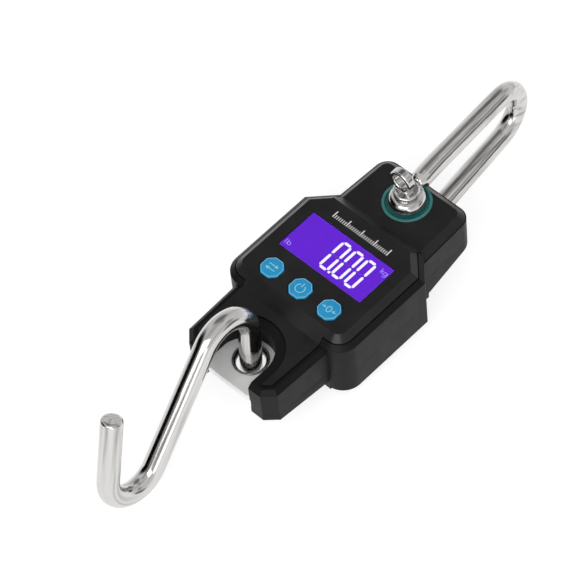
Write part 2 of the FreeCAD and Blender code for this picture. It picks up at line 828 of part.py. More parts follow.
def make_display_stack():
    width = dim("display_width") + dim("glass_margin")
    height = dim("display_height") + dim("glass_margin")
    centre = dim("display_centre")
    glass_base = FACE_UNDERSIDE - 0.3 - dim("glass_thickness")
    glass = box("lcd_glass", width, height, dim("glass_thickness"), 0, centre, glass_base)
    node("lcd_glass", glass)
    light_base = glass_base - dim("backlight_thickness")
    light = box("lcd_backlight", width - 4, height - 6, dim("backlight_thickness"), 0, centre, light_base)
    node("lcd_backlight", light)
    strips = []
    for side in signs():
        y = centre + (height / 2 - 1.2) * side
        strip = box("connector_strip", width - 6, 1.6, glass_base - BOARD_TOP, 0, y, BOARD_TOP)
        strips.append(strip)
    group("lcd_connectors", strips)


def make_board():
    body = new_body("main_pcb")
    base = dim("board_height")
    top = BOARD_TOP
    pad_rectangle(body, dim("board_half_width"), -dim("board_half_length"), dim("board_half_length"),
                  base, top)
    pad_rectangle(body, dim("wing_half_width"), -dim("board_screw_low") - 3,
                  dim("board_screw_high") + 3, base, top)
    for x, y in board_screw_places():
        cut_disc(body, x, y, dim("board_screw") + 0.2, base, top)

    screws = []
    for x, y in board_screw_places():
        head = cylinder("board_screw_head", dim("board_screw") * 2, 1.2, x, y, base - 1.2)
        shank = cylinder("board_screw_shank", dim("board_screw"), FACE_UNDERSIDE - 1.6 - base + 0.5,
                         x, y, base - 0.5)
        screws.append(fuse("board_screw", [head, shank]))
    group("pcb_screws", screws)

    chips = [
        box("controller", 8, 6, 1.2, 5, 17.8, top),
        box("converter", 4.2, 5.2, 1.1, 13, 17.8, top),
        box("memory", 4, 4, 1.0, 19.3, -2, top),
    ]
    group("board_chips", chips)
    node("buzzer", cut("buzzer", cylinder("buzzer_can", 3.4, 2.6, -10, 18.2, top),
                       cylinder("buzzer_port", 0.7, 2.0, -10, 18.2, top + 1.2)))
    switches = []
    for column in (-1, 0, 1):
        x = dim("key_pitch") * column
        case = box("switch_case", 6, 6, dim("switch_height") - 0.8, x, KEY_Y, top)
        stem = cylinder("switch_stem", 1.6, 1.0, x, KEY_Y, top + dim("switch_height") - 1.0)
        switches.append(fuse("switch", [case, stem]))
    group("tact_switches", switches)


# ---------------------------------------------------------------- load cell
def make_load_cell():
    body = new_body("load_cell")
    half = dim("cell_half_width")
    base = dim("cell_base")
    tip = -dim("cell_tip")
    pad_rectangle(body, half, tip, dim("cell_top"), base, CELL_FACE)

    def tip_corner(edge):
        return is_upright(edge) and abs(middle(edge).y - tip.value) < 0.1

    break_edges(body, "Fillet", dim("tip_corner"), tip_corner)
    beam = dim("beam_half_length")
    pad_rectangle(body, half - 0.5, -beam, beam, base, base + dim("cell_beam"))
    # Two bores joined by a slot leave the thin bending webs under the strain gauges.
    for side in signs():
        bore = disc_sketch(body, "YZ", dim("web_pitch") * side, base + dim("cell_beam") / 2,
                           dim("web_bore"))
        pocket(body, bore, FAR, both_ways=True)
    slot_low = base + dim("cell_beam") / 2 - 0.5
    slot = [(dim("web_pitch"), slot_low), (dim("web_pitch"), slot_low + 1),
            (-dim("web_pitch"), slot_low + 1), (-dim("web_pitch"), slot_low)]
    pocket(body, shape_sketch(body, "YZ", slot), FAR, both_ways=True)
    cut_disc(body, 0, PIN_Y, dim("pin_radius") + dim("pin_fit"), base, CELL_FACE)
    cut_disc(body, 0, EYELET_Y, dim("eyelet_radius") + dim("eyelet_fit"), base, CELL_FACE)
    for x, y in cell_screw_places():
        cut_disc(body, x, y, dim("cell_screw_radius") + 0.2, base, CELL_FACE)

    def tongue_edge(edge):
        at = middle(edge)
        on_face = lies_at(edge, base) or lies_at(edge, CELL_FACE)
        return on_face and at.y < -beam.value - 3 and not is_circle_at_eyelet(edge)

    break_edges(body, "Fillet", 0.4, tongue_edge)

    gauge_top = base + dim("cell_beam")
    gauges = []
    for side in signs():
        for column in signs():
            gauge = box("gauge", 4, 5, 0.12, 5.5 * column, dim("web_pitch") * side, gauge_top)
            gauges.append(gauge)
    group("strain_gauges", gauges)
    flex = [
        box("flex_tape", 3, 12, 0.15, 0, 4, gauge_top),
        box("flex_riser", 3, 0.3, dim("board_height") - gauge_top, 0, 9.8, gauge_top),
    ]
    node("gauge_flex", fuse("gauge_flex", flex))
    screws = []
    for x, y in cell_screw_places():
        foot = dim("cell_screw_foot")
        head = cylinder("cell_screw_head", dim("cell_screw_head"), dim("cell_screw_head_height"),
                        x, y, CELL_FACE)
        shank = cylinder("cell_screw_shank", dim("cell_screw_radius"), CELL_FACE - foot + 0.5, x, y, foot)
        screws.append(fuse("cell_screw", [head, shank]))
    group("load_cell_screws", screws)


def is_circle_at_eyelet(edge):
    at = middle(edge)
    return math.hypot(at.x, at.y - EYELET_Y.value) < 1.0


def make_pin_bushes():
    bore = dim("pin_radius") + dim("pin_fit")
    radius = dim("bush_radius")
    for name, low, high in (("front_pin_bush", CELL_FACE, NECK_TOP),
                            ("rear_pin_bush", dim("pad_height"), dim("cell_base"))):
        body = new_body(name)
        pad_disc(body, 0, 0, radius, low, high)
        cut_disc(body, 0, 0, bore, low, high)
        place(body, 0, PIN_Y, 0)
    front = [item for item in NODES if item.Label == "front_pin_bush"][0]
    dish = new_sketch(front, "XY", NECK_TOP)
    add_circle(dish, 0, 0, dim("dish_radius"))
    pocket(front, dish, dim("dish_depth"))


# ---------------------------------------------------------------- batteries and screws
def make_batteries():
    along_y = FreeCAD.Vector(1, 0, 0)
    height = dim("battery_height")
    cells = []
    springs = []
    plates = []
    for column, side in ((-1, 1), (0, -1), (1, 1)):
        x = dim("battery_pitch") * column
        plate_face = dim("tray_end") - dim("plate_thickness")
        nub_end = (plate_face - 0.1) * side
        can_length = dim("battery_length") - 1.0
        can_end = (plate_face - 1.1) * side
        turn = 90.0 if side > 0 else -90.0
        can = cylinder("can", dim("battery_radius"), can_length, x, can_end, height, along_y, turn)
        nub = cylinder("nub", 1.9, 1.2, x, nub_end, height, along_y, turn)
        cells.append(fuse("battery", [can, nub]))
        for end in signs():
            y = (dim("tray_end") - dim("plate_thickness") / 2) * end
            plates.append(box("plate", 8.4, dim("plate_thickness"), 7.6, x, y, height - 3.8))
        springs.append(make_spring(x, -side, can_length, height))
    group("batteries", cells)
    group("battery_springs", springs)
    group("battery_contacts", plates)


def make_spring(x, side, can_length, height):
    """A coil between a contact plate and the flat end of a battery."""
    plate_face = dim("tray_end") - dim("plate_thickness")
    space = plate_face * 2 - 1.1 - can_length
    wire = dim("spring_wire")
    helix = doc.addObject("Part::Helix", "coil")
    bind(helix, "Pitch", (space - wire * 2 - 0.3) / 4)
    bind(helix, "Height", space - wire * 2 - 0.3)
    bind(helix, "Radius", dim("spring_radius"))
    section = doc.addObject("Part::Circle", "wire")
    bind(section, "Radius", wire)
    place(section, dim("spring_radius"), 0, 0, FreeCAD.Vector(1, 0, 0), 90.0)
    coil = doc.addObject("Part::Sweep", "spring")
    coil.Sections = [section]
    coil.Spine = (helix, ["Edge1"])
    coil.Solid = True
    coil.Frenet = True
    turn = 90.0 if side > 0 else -90.0
    start = (plate_face - wire - 0.15) * side
    place(coil, x, start, height, FreeCAD.Vector(1, 0, 0), turn)
    return coil


def make_housing_screws():
    screws = []
    sink = dim("screw_sink")
    for x, y in screw_places():
        head = cylinder("housing_screw_head", dim("screw_head"), 1.8, x, y, sink - 1.8)
        shank = cylinder("housing_screw_shank", dim("screw_radius"), dim("screw_tip") - sink + 0.5,
                         x, y, sink - 0.5)
        slot_one = box("slot", 3.4, 0.8, 1.0, x, y, sink - 1.9)
        slot_two = box("slot", 0.8, 3.4, 1.0, x, y, sink - 1.9)
        solid = fuse("housing_screw", [head, shank])
        screws.append(cut("housing_screw_cross", solid, fuse("cross", [slot_one, slot_two])))
    group("housing_screws", screws)


# ---------------------------------------------------------------- shackle, pin, eyelet and hook
def add_path(sketch, start, steps):
    """A chain of lines and tangent arcs.  A step is a line ("run", length, heading) or an arc
    ("bend", radius, turn); headings and turns are plain degrees, counter-clockwise."""
    x, y = start[0].value, start[1].value
    heading = steps[0][2].value
    previous = None
    for kind, size, angle in steps:
        if kind == "run":
            heading = angle.value
            end_x = x + size.value * math.cos(math.radians(heading))
            end_y = y + size.value * math.sin(math.radians(heading))
            line = Part.LineSegment(FreeCAD.Vector(x, y, 0), FreeCAD.Vector(end_x, end_y, 0))
            index = sketch.addGeometry(line)
            ends = (1, 2)
            named = sketch.addConstraint(Sketcher.Constraint("Distance", index, size.value))
            sketch.setExpression("Constraints[%d]" % named, size.text)
            leans = sketch.addConstraint(Sketcher.Constraint("Angle", index, math.radians(heading)))
            sketch.setExpression("Constraints[%d]" % leans, angle.text)
        else:
            side = 1.0 if angle.value > 0 else -1.0
            normal = math.radians(heading + 90.0 * side)
            centre_x = x + size.value * math.cos(normal)
            centre_y = y + size.value * math.sin(normal)
            circle = Part.Circle(FreeCAD.Vector(centre_x, centre_y, 0), FreeCAD.Vector(0, 0, 1), size.value)
            begin = normal + math.pi
            finish = begin + math.radians(angle.value)
            low, high = min(begin, finish), max(begin, finish)
            index = sketch.addGeometry(Part.ArcOfCircle(circle, low, high))
            ends = (1, 2) if side > 0 else (2, 1)
            end_x = centre_x + size.value * math.cos(finish)
            end_y = centre_y + size.value * math.sin(finish)
            heading += angle.value
            named = sketch.addConstraint(Sketcher.Constraint("Radius", index, size.value))
            sketch.setExpression("Constraints[%d]" % named, size.text)
        if previous is not None:
            joint = Sketcher.Constraint("Tangent", previous[0], previous[1], index, ends[0])
            sketch.addConstraint(joint)
        previous = (index, ends[1])
        x, y = end_x, end_y
    pin_point(sketch, 0, 1, start[0], start[1])


def pipe(body, profile, spine):
    feature = body.newObject("PartDesign::AdditivePipe", body.Name + "_pipe")
    feature.Profile = profile
    feature.Spine = spine
    doc.recompute()
    return feature


def make_hook():
    """An S bent from round bar; its upper end passes down through the eyelet."""
    body = new_body("s_hook")
    radius = dim("hook_bend")
    spine = new_sketch(body, "YZ")
    up = Size.of(90)
    down = up - dim("crown_turn")
    back = down + dim("throat_turn")
    steps = [
        ("run", dim("hook_tail") + dim("hook_neck"), up),
        ("bend", radius, -dim("crown_turn")),
        ("run", dim("hook_shank"), down),
        ("bend", radius, dim("throat_turn")),
        ("run", dim("hook_tip"), back),
    ]
    add_path(spine, (Size.of(0), -dim("hook_tail")), steps)
    profile = disc_sketch(body, "XY", 0, 0, dim("hook_rod"), -dim("hook_tail"))
    pipe(body, profile, spine)

    def end_rim(edge):
        return abs(edge.Length - 2 * math.pi * dim("hook_rod").value) < 0.05 and is_rod_end(body, edge)

    break_edges(body, "Fillet", dim("rod_end_round"), end_rim)
    place(body, 0, EYELET_Y, CELL_MIDDLE)
    turned = FreeCAD.Rotation(FreeCAD.Vector(0, 0, 1), 180.0)
    leaned = FreeCAD.Rotation(FreeCAD.Vector(1, 0, 0), dim("hook_lean").value)
    rolled = FreeCAD.Rotation(FreeCAD.Vector(0, 1, 0), -dim("hook_roll").value)
    body.Placement.Rotation = rolled * turned * leaned


def is_rod_end(body, edge):
    """True when one of the two faces at an edge is flat."""
    for face in body.Tip.Shape.Faces:
        if face.Surface.TypeId == "Part::GeomPlane" and any(edge.isSame(e) for e in face.Edges):
            return True
    return False


def make_eyelet():
    body = new_body("hook_bush")
    low = dim("cell_base") - dim("eyelet_fit")
    high = CELL_FACE + dim("eyelet_fit")
    flange = dim("eyelet_flange_height")
    pad_disc(body, 0, 0, dim("eyelet_radius"), low, high)
    pad_disc(body, 0, 0, dim("eyelet_flange"), high, high + flange)
    pad_disc(body, 0, 0, dim("eyelet_flange"), low - flange, low)
    cut_disc(body, 0, 0, dim("eyelet_bore"), low - flange, high + flange)
    rims = (low - flange, high + flange)
    break_edges(body, "Fillet", 0.3, lambda edge: lies_at(edge, rims[0]) or lies_at(edge, rims[1]))
    place(body, 0, EYELET_Y, 0)


def make_shackle():
    """A narrow bow whose legs run over and under the upper neck to two flat eyes."""
    body = new_body("shackle_bow")
    half_root = dim("bow_root_span") / 2
    eye_low = NECK_TOP + dim("eye_gap") - dim("bow_mid_height")
    eye_high = eye_low + dim("eye_thickness")
    blend = dim("eye_blend")
    rod = dim("bow_rod")
    spine = new_sketch(body, "YZ")
    add_bow(spine, blend, half_root)
    profile = disc_sketch(body, "XZ", 0, half_root, rod, -blend)
    pipe(body, profile, spine)
    for low, high in ((eye_low, eye_high), (-eye_high, -eye_low)):
        pad_disc(body, 0, 0, dim("eye_radius"), low, high)
        web = [(dim("eye_radius") - 1.0, 3.2), (rod, blend + 2), (-rod, blend + 2),
               (1.0 - dim("eye_radius"), 3.2)]
        pad(body, shape_sketch(body, "XY", web, low), high - low)
    cut_disc(body, 0, 0, dim("pin_radius") + dim("eyelet_fit"), -eye_high, eye_high)
    place(body, 0, PIN_Y, dim("bow_mid_height"))
    body.Placement.Rotation = FreeCAD.Rotation(FreeCAD.Vector(0, 0, 1), dim("shackle_turn").value)


def add_bow(sketch, blend, half_root):
    """Two straight leg roots, two long easing arcs, two converging legs and the round bow."""
    easing = dim("leg_easing")
    straight = dim("leg_straight")
    bow = dim("bow_span") / 2
    centre = dim("bow_centre")
    across = (centre - straight).value
    along = (easing - half_root).value
    reach = math.hypot(across, along)
    slope = math.atan2(across, along) - math.acos((easing - bow).value / reach)
    sine, cosine = math.sin(slope), math.cos(slope)
    items = []
    for side in signs():
        root = FreeCAD.Vector(blend.value, half_root.value * side, 0)
        bend = FreeCAD.Vector(straight.value, half_root.value * side, 0)
        leg_start = FreeCAD.Vector(straight.value + easing.value * sine,
                                   side * (half_root.value - easing.value * (1.0 - cosine)), 0)
        leg_end = FreeCAD.Vector(centre.value + bow.value * sine, side * bow.value * cosine, 0)
        ease_centre = FreeCAD.Vector(straight.value, side * (half_root.value - easing.value), 0)
        items.append((root, bend, leg_start, leg_end, ease_centre))
    normal = FreeCAD.Vector(0, 0, 1)
    root, bend, leg_start, leg_end, ease_centre = items[0]
    top_root = sketch.addGeometry(Part.LineSegment(root, bend))
    ease = Part.Circle(ease_centre, normal, easing.value)
    top_ease = sketch.addGeometry(Part.ArcOfCircle(ease, math.pi / 2 - slope, math.pi / 2))
    top_leg = sketch.addGeometry(Part.LineSegment(leg_start, leg_end))
    circle = Part.Circle(FreeCAD.Vector(centre.value, 0, 0), normal, bow.value)
    arc = sketch.addGeometry(Part.ArcOfCircle(circle, slope - math.pi / 2, math.pi / 2 - slope))
    root, bend, leg_start, leg_end, ease_centre = items[1]
    low_leg = sketch.addGeometry(Part.LineSegment(leg_end, leg_start))
    ease = Part.Circle(ease_centre, normal, easing.value)
    low_ease = sketch.addGeometry(Part.ArcOfCircle(ease, -math.pi / 2, slope - math.pi / 2))
    low_root = sketch.addGeometry(Part.LineSegment(bend, root))
    chain = [
        (top_root, 2, top_ease, 2), (top_ease, 1, top_leg, 1), (top_leg, 2, arc, 2),
        (arc, 1, low_leg, 1), (low_leg, 2, low_ease, 2), (low_ease, 1, low_root, 1),
    ]
    for one, one_end, other, other_end in chain:
        sketch.addConstraint(Sketcher.Constraint("Tangent", one, one_end, other, other_end))
    for curve, radius in ((top_ease, easing), (low_ease, easing), (arc, bow)):
        index = sketch.addConstraint(Sketcher.Constraint("Radius", curve, radius.value))
        sketch.setExpression("Constraints[%d]" % index, radius.text)
    pin_point(sketch, top_root, 1, blend, half_root)
    pin_point(sketch, top_root, 2, straight, half_root)
    pin_point(sketch, low_root, 1, straight, -half_root)
    pin_point(sketch, low_root, 2, blend, -half_root)
    pin_point(sketch, arc, 3, centre, 0)


def make_pin():
    """A pin through both eyes of the shackle, headed by a collar and an upright ring."""
    body = new_body("shackle_pin")
    eye_top = NECK_TOP + dim("eye_gap") + dim("eye_thickness")
    foot = dim("bow_mid_height") * 2 - eye_top
    collar_top = eye_top + dim("collar_height")
    lug_centre = collar_top + dim("lug_height")
    ring = disc_sketch(body, "XZ", -dim("lug_shift"), lug_centre, dim("lug_radius"))
    pad(body, ring, dim("lug_thickness"), both_ways=True)
    hole = disc_sketch(body, "XZ", -dim("lug_shift"), lug_centre, dim("lug_hole"))
    pocket(body, hole, dim("lug_thickness") * 2, both_ways=True)
    break_edges(body, "Fillet", dim("lug_round"), lambda edge: edge.BoundBox.YLength < 1e-4)
    pad_disc(body, 0, 0, dim("collar_radius"), eye_top, collar_top)
    pad_disc(body, 0, 0, dim("pin_radius"), foot + dim("pin_recess"), eye_top)
    place(body, 0, PIN_Y, 0)


for make in (make_rear_shell, make_front_shell, make_front_cover, make_battery_door,
             make_display_lens, make_keys, make_display_stack, make_board, make_load_cell,
             make_pin_bushes, make_batteries, make_housing_screws, make_eyelet, make_hook,
             make_shackle, make_pin):
    make()

# ---------------------------------------------------------------- checks and export
doc.recompute()
for obj in doc.Objects:
    if "Invalid" in obj.State or "Error" in obj.State:
        raise RuntimeError(obj.Label + " failed: " + str(obj.State))
os.makedirs("parts", exist_ok=True)
for item in NODES:
    shape = item.Shape
    if shape.isNull() or not shape.isValid():
        raise RuntimeError(item.Label + " has no valid shape")
    shape.exportStep("parts/" + item.Label + ".step")
    print("%-18s %2d solids %9.1f mm3" % (item.Label, len(shape.Solids), shape.Volume))
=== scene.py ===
import math

import bmesh
import bpy
from mathutils import Matrix, Vector


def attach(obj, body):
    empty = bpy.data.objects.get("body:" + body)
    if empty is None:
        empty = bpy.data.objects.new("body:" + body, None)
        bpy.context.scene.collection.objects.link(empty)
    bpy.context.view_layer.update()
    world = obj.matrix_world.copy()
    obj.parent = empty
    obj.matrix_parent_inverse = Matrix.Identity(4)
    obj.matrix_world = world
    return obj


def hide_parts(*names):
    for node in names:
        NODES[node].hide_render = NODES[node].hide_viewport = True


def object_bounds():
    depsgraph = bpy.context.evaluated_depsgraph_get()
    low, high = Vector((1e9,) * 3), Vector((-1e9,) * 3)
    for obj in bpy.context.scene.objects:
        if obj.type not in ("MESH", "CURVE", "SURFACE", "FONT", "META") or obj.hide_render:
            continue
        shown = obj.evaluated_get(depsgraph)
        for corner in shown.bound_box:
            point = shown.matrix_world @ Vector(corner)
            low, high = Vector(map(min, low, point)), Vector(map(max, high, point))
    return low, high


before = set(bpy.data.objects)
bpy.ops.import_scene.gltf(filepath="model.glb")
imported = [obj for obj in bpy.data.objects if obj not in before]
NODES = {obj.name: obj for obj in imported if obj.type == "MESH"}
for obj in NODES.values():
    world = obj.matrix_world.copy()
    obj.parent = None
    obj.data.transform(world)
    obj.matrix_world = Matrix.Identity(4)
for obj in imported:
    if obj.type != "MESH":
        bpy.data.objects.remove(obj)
cad_low, cad_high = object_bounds()
MM = 0.001
SCENE = bpy.context.scene

# Sizes in millimetres, in the CAD's frame.
FACE_Z = 31.6
PIN_Y = 42.8
BOW_Z = 16.3
EYELET = (0.0, -45.3, 14.6)
DISPLAY_Y = 3.4
DISPLAY_SIZE = (42.5, 19.8)
PANEL_TOP = 30.55
KEY_Y = -16.4
KEY_PITCH = 14.9
# The shackle rests turned by this many degrees about its pin.
SHACKLE_TURN = 5.2

# Lamps: name, direction seen from the scale, width and height in metres, energy in watts.
LAMPS = (
    ("front", (0.30, -0.85, 0.75), (1.1, 0.6), 8.0),
    ("right", (0.75, -0.62, 0.20), (0.35, 0.45), 0.9),
)
LAMP_DISTANCE = 1.4

# Brightness of the sky, by height from the horizon (0) to overhead (1), and its slight blue tint.
HORIZON = (1.0, 1.0, 1.0, 1)
OVERHEAD = (0.72, 0.72, 0.73, 1)
SKY_GREYS = ((0.10, 0.85), (0.35, 0.75), (0.80, 0.75))
SKY_BLUE = 1.01

# Soft dark spots in the sky, placed so that the polished bars mirror them as dark bands in the main view:
# direction seen from the scale, half width in degrees, darkness.
DARK_SPOTS = (
    ((-0.45, 0.42, 0.79), 26.0, 0.70),
    ((0.08, 0.40, 0.91), 11.0, 0.45),
    ((0.63, 0.55, 0.55), 13.0, 0.50),
    ((0.86, 0.52, 0.05), 20.0, 0.80),
    ((-0.72, -0.65, 0.20), 44.0, 1.00),
    ((0.44, -0.80, 0.40), 11.0, 0.60),
)
# The inner part of a spot that is dark all over, as a share of its half width.
SPOT_CORE = 0.45


# ---------------------------------------------------------------- camera and light
def make_camera():
    """A long lens above and to the right of the scale."""
    place = Vector((507.49, -450.98, 967.04)) * MM
    aim = Vector((-12.87, -11.59, 15.0)) * MM
    roll = math.radians(-7.42)
    data = bpy.data.cameras.new("camera")
    data.sensor_width = 36.0
    data.lens = 190.48
    data.clip_start = 0.05
    data.clip_end = 20.0
    camera = bpy.data.objects.new("camera", data)
    SCENE.collection.objects.link(camera)
    camera.location = place
    look = (aim - place).to_track_quat("-Z", "Y").to_matrix().to_4x4()
    camera.rotation_euler = (look @ Matrix.Rotation(roll, 4, "Z")).to_euler()
    SCENE.camera = camera


def softbox(name, direction, size, energy):
    """A rectangular lamp that points at the scale."""
    data = bpy.data.lights.new(name, "AREA")
    data.shape = "RECTANGLE"
    data.size, data.size_y = size
    data.energy = energy
    lamp = bpy.data.objects.new(name, data)
    SCENE.collection.objects.link(lamp)
    lamp.location = Vector(direction).normalized() * LAMP_DISTANCE
    lamp.rotation_euler = (-lamp.location).to_track_quat("-Z", "Y").to_euler()


def darken(tree, light, coords, direction, half_angle, depth):
    """Multiplies the sky by a soft dark spot about a direction."""
    dot = tree.nodes.new("ShaderNodeVectorMath")
    dot.operation = "DOT_PRODUCT"
    dot.inputs[1].default_value = Vector(direction).normalized()
    spot = tree.nodes.new("ShaderNodeMapRange")
    spot.interpolation_type = "SMOOTHSTEP"
    spot.inputs["From Min"].default_value = math.cos(math.radians(half_angle))
    spot.inputs["From Max"].default_value = math.cos(math.radians(half_angle * SPOT_CORE))
    spot.inputs["To Min"].default_value = 1.0
    spot.inputs["To Max"].default_value = 1.0 - depth
    scale = tree.nodes.new("ShaderNodeVectorMath")
    scale.operation = "SCALE"
    tree.links.new(coords, dot.inputs[0])
    tree.links.new(dot.outputs["Value"], spot.inputs["Value"])
    tree.links.new(light, scale.inputs[0])
    tree.links.new(spot.outputs["Result"], scale.inputs["Scale"])
    return scale.outputs["Vector"]


def make_studio():
    """Soft lamps over a bright table, under a pale sky with a few soft dark spots."""
    SCENE.view_settings.view_transform = "Standard"
    for lamp in LAMPS:
        softbox(*lamp)
    world = bpy.data.worlds.new("studio")
    SCENE.world = world
    world.use_nodes = True
    tree = world.node_tree
    background = tree.nodes["Background"]
    coords = tree.nodes.new("ShaderNodeTexCoord").outputs["Generated"]
    split = tree.nodes.new("ShaderNodeSeparateXYZ")
    ramp = tree.nodes.new("ShaderNodeValToRGB")
    stops = ramp.color_ramp.elements
    stops[0].position, stops[0].color = 0.0, HORIZON
    stops[1].position, stops[1].color = 1.0, OVERHEAD
    for height, grey in SKY_GREYS:
        stops.new(height).color = (grey, grey, grey * SKY_BLUE, 1)
    tree.links.new(coords, split.inputs[0])
    tree.links.new(split.outputs["Z"], ramp.inputs["Fac"])
    light = ramp.outputs["Color"]
    for direction, half_angle, depth in DARK_SPOTS:
        light = darken(tree, light, coords, direction, half_angle, depth)
    tree.links.new(light, background.inputs["Color"])
    background.inputs["Strength"].default_value = 1.0


# ---------------------------------------------------------------- materials
# A noise texture stays mostly between these values.
NOISE_RANGE = (0.3, 0.7)
# How far a surface's roughness goes below and above its middle value.
SMOOTHER = 0.05
ROUGHER = 0.08


class Paint:
    """A Principled material with helpers for procedural textures in object space."""

    def __init__(self, name, colour=(0.5, 0.5, 0.5), roughness=0.5, metallic=0.0):
        self.material = bpy.data.materials.new(name)
        self.material.use_nodes = True
        self.tree = self.material.node_tree
        self.shader = self.tree.nodes["Principled BSDF"]
        self.set("Base Color", (*colour, 1.0))
        self.set("Roughness", roughness)
        self.set("Metallic", metallic)
        self.place = self.node("ShaderNodeTexCoord").outputs["Object"]
        self.height = None

    def set(self, socket, value):
        self.shader.inputs[socket].default_value = value

    def node(self, kind):
        return self.tree.nodes.new(kind)

    def link(self, output, target):
        self.tree.links.new(output, target)

    def stretched(self, scale, turn=0.0, source=None):
        """Coordinates scaled along each axis, then turned about Z."""
        mapping = self.node("ShaderNodeMapping")
        mapping.inputs["Scale"].default_value = scale
        mapping.inputs["Rotation"].default_value = (0.0, 0.0, turn)
        self.link(source or self.place, mapping.inputs["Vector"])
        return mapping.outputs["Vector"]

    def noise(self, scale, detail, roughness, vector=None):
        made = self.node("ShaderNodeTexNoise")
        made.inputs["Scale"].default_value = scale
        made.inputs["Detail"].default_value = detail
        made.inputs["Roughness"].default_value = roughness
        self.link(vector or self.place, made.inputs["Vector"])
        return made.outputs["Fac"]

    def cells(self, scale):
        made = self.node("ShaderNodeTexVoronoi")
        made.inputs["Scale"].default_value = scale
        self.link(self.place, made.inputs["Vector"])
        return made.outputs["Distance"]

    def ramp(self, factor, places, dark, light, middle=None):
        """Colours a texture: dark at the first place, light at the second, a third between them."""
        ramp = self.node("ShaderNodeValToRGB")
        stops = ramp.color_ramp.elements
        stops[0].position, stops[0].color = places[0], (*dark, 1.0)
        stops[1].position, stops[1].color = places[1], (*light, 1.0)
        if middle:
            stops.new(0.5).color = (*middle, 1.0)
        self.link(factor, ramp.inputs["Fac"])
        return ramp.outputs["Color"]

    def vary_colour(self, factor, dark, light, middle=None):
        colour = self.ramp(factor, NOISE_RANGE, dark, light, middle)
        self.link(colour, self.shader.inputs["Base Color"])

    def vary_roughness(self, factor, low, high):
        made = self.node("ShaderNodeMapRange")
        made.inputs["From Min"].default_value = NOISE_RANGE[0]
        made.inputs["From Max"].default_value = NOISE_RANGE[1]
        made.inputs["To Min"].default_value = low
        made.inputs["To Max"].default_value = high
        self.link(factor, made.inputs["Value"])
        self.link(made.outputs["Result"], self.shader.inputs["Roughness"])

    def glow(self, factor, places, dark, light):
        """Makes the surface shine by itself."""
        self.link(self.ramp(factor, places, dark, light), self.shader.inputs["Emission Color"])
        self.set("Emission Strength", 1.0)

    def bump(self, factor, depth_mm, strength):
        """Adds a relief of that depth to what is there already."""
        made = self.node("ShaderNodeBump")
        made.inputs["Distance"].default_value = depth_mm * MM
        made.inputs["Strength"].default_value = strength
        self.link(factor, made.inputs["Height"])
        if self.height:
            self.link(self.height, made.inputs["Normal"])
        self.height = made.outputs["Normal"]
        self.link(self.height, self.shader.inputs["Normal"])


def case_plastic(name, dark, light, rough, gloss):
    """Moulded black plastic with a fine spark-eroded grain and faint rubbed patches."""
    paint = Paint(name)
    paint.vary_colour(paint.noise(60, 4.0, 0.6), dark, light)
    paint.vary_roughness(paint.noise(120, 5.0, 0.65), rough - SMOOTHER, rough + ROUGHER)
    paint.bump(paint.noise(2600, 2.0, 0.6), 0.018, 0.5)
    paint.bump(paint.cells(1500), 0.012, 0.35)
    paint.set("Specular IOR Level", gloss)
    return paint.material


def case_front(name):
    return case_plastic(name, (0.0105, 0.0100, 0.0101), (0.0140, 0.0133, 0.0134), 0.34, 0.28)


def case_shell(name):
    return case_plastic(name, (0.0058, 0.0056, 0.0056), (0.0082, 0.0079, 0.0079), 0.42, 0.12)


def polished_steel(name, turn=None):
    """Drawn and polished bar, with streaks along its UV map or else along Y turned by some degrees, and
    painted dark and light reflection lines along it in its colour.
    """
    paint = Paint(name, metallic=1.0)
    if turn is None:
        source = paint.node("ShaderNodeTexCoord").outputs["UV"]
        streaks = paint.stretched((60.0, 0.6, 1.0), 0.0, source)
        painted_reflection_lines = paint.stretched((15.0, 0.25, 1.0), 0.0, source)
    else:
        streaks = paint.stretched((1400.0, 26.0, 1400.0), math.radians(turn))
        painted_reflection_lines = paint.stretched((620.0, 9.0, 620.0), math.radians(turn))
    grain = paint.noise(1.0, 3.0, 0.6, streaks)
    # The colour runs from 0.6 to 1.12 times this middle colour, in long lines along the bar: painted dark and
    # light reflections.
    middle = (0.60, 0.59, 0.575)
    dark = tuple(c * 0.60 for c in middle)
    light = tuple(c * 1.12 for c in middle)
    paint.vary_colour(paint.noise(1.0, 2.0, 0.5, painted_reflection_lines), dark, light, middle)
    paint.vary_roughness(grain, 0.08, 0.18)
    paint.bump(grain, 0.006, 0.6)
    paint.bump(paint.noise(160, 4.0, 0.6), 0.006, 0.3)
    return paint.material


def shackle_steel(name):
    return polished_steel(name, -SHACKLE_TURN)


def cell_steel(name):
    """The load cell's pale brushed metal."""
    paint = Paint(name, metallic=0.25)
    brushed = paint.noise(1.0, 4.0, 0.6, paint.stretched((2600.0, 60.0, 2600.0)))
    paint.vary_colour(paint.noise(90, 4.0, 0.6), (0.74, 0.74, 0.73), (0.86, 0.86, 0.85))
    paint.vary_roughness(brushed, 0.36, 0.52)
    paint.bump(brushed, 0.008, 0.7)
    return paint.material


def eyelet_steel(name):
    paint = Paint(name, metallic=1.0)
    turned = paint.noise(700, 3.0, 0.6)
    # Its colour is kept dark, 0.16 to 0.30: partly the metal's own tone, partly painted shade for the deep
    # bore.
    paint.vary_colour(turned, (0.16, 0.16, 0.16), (0.30, 0.30, 0.295))
    paint.vary_roughness(turned, 0.2, 0.36)
    return paint.material


def screw_steel(name):
    paint = Paint(name, metallic=1.0)
    plated = paint.noise(900, 3.0, 0.6)
    paint.vary_colour(plated, (0.38, 0.38, 0.40), (0.60, 0.60, 0.62))
    paint.vary_roughness(plated, 0.25, 0.42)
    return paint.material


def bush_nylon(name):
    paint = Paint(name)
    paint.vary_colour(paint.noise(300, 4.0, 0.6), (0.026, 0.165, 0.158), (0.046, 0.235, 0.220))
    paint.vary_roughness(paint.noise(500, 3.0, 0.6), 0.32, 0.46)
    paint.bump(paint.noise(1800, 2.0, 0.5), 0.01, 0.4)
    return paint.material


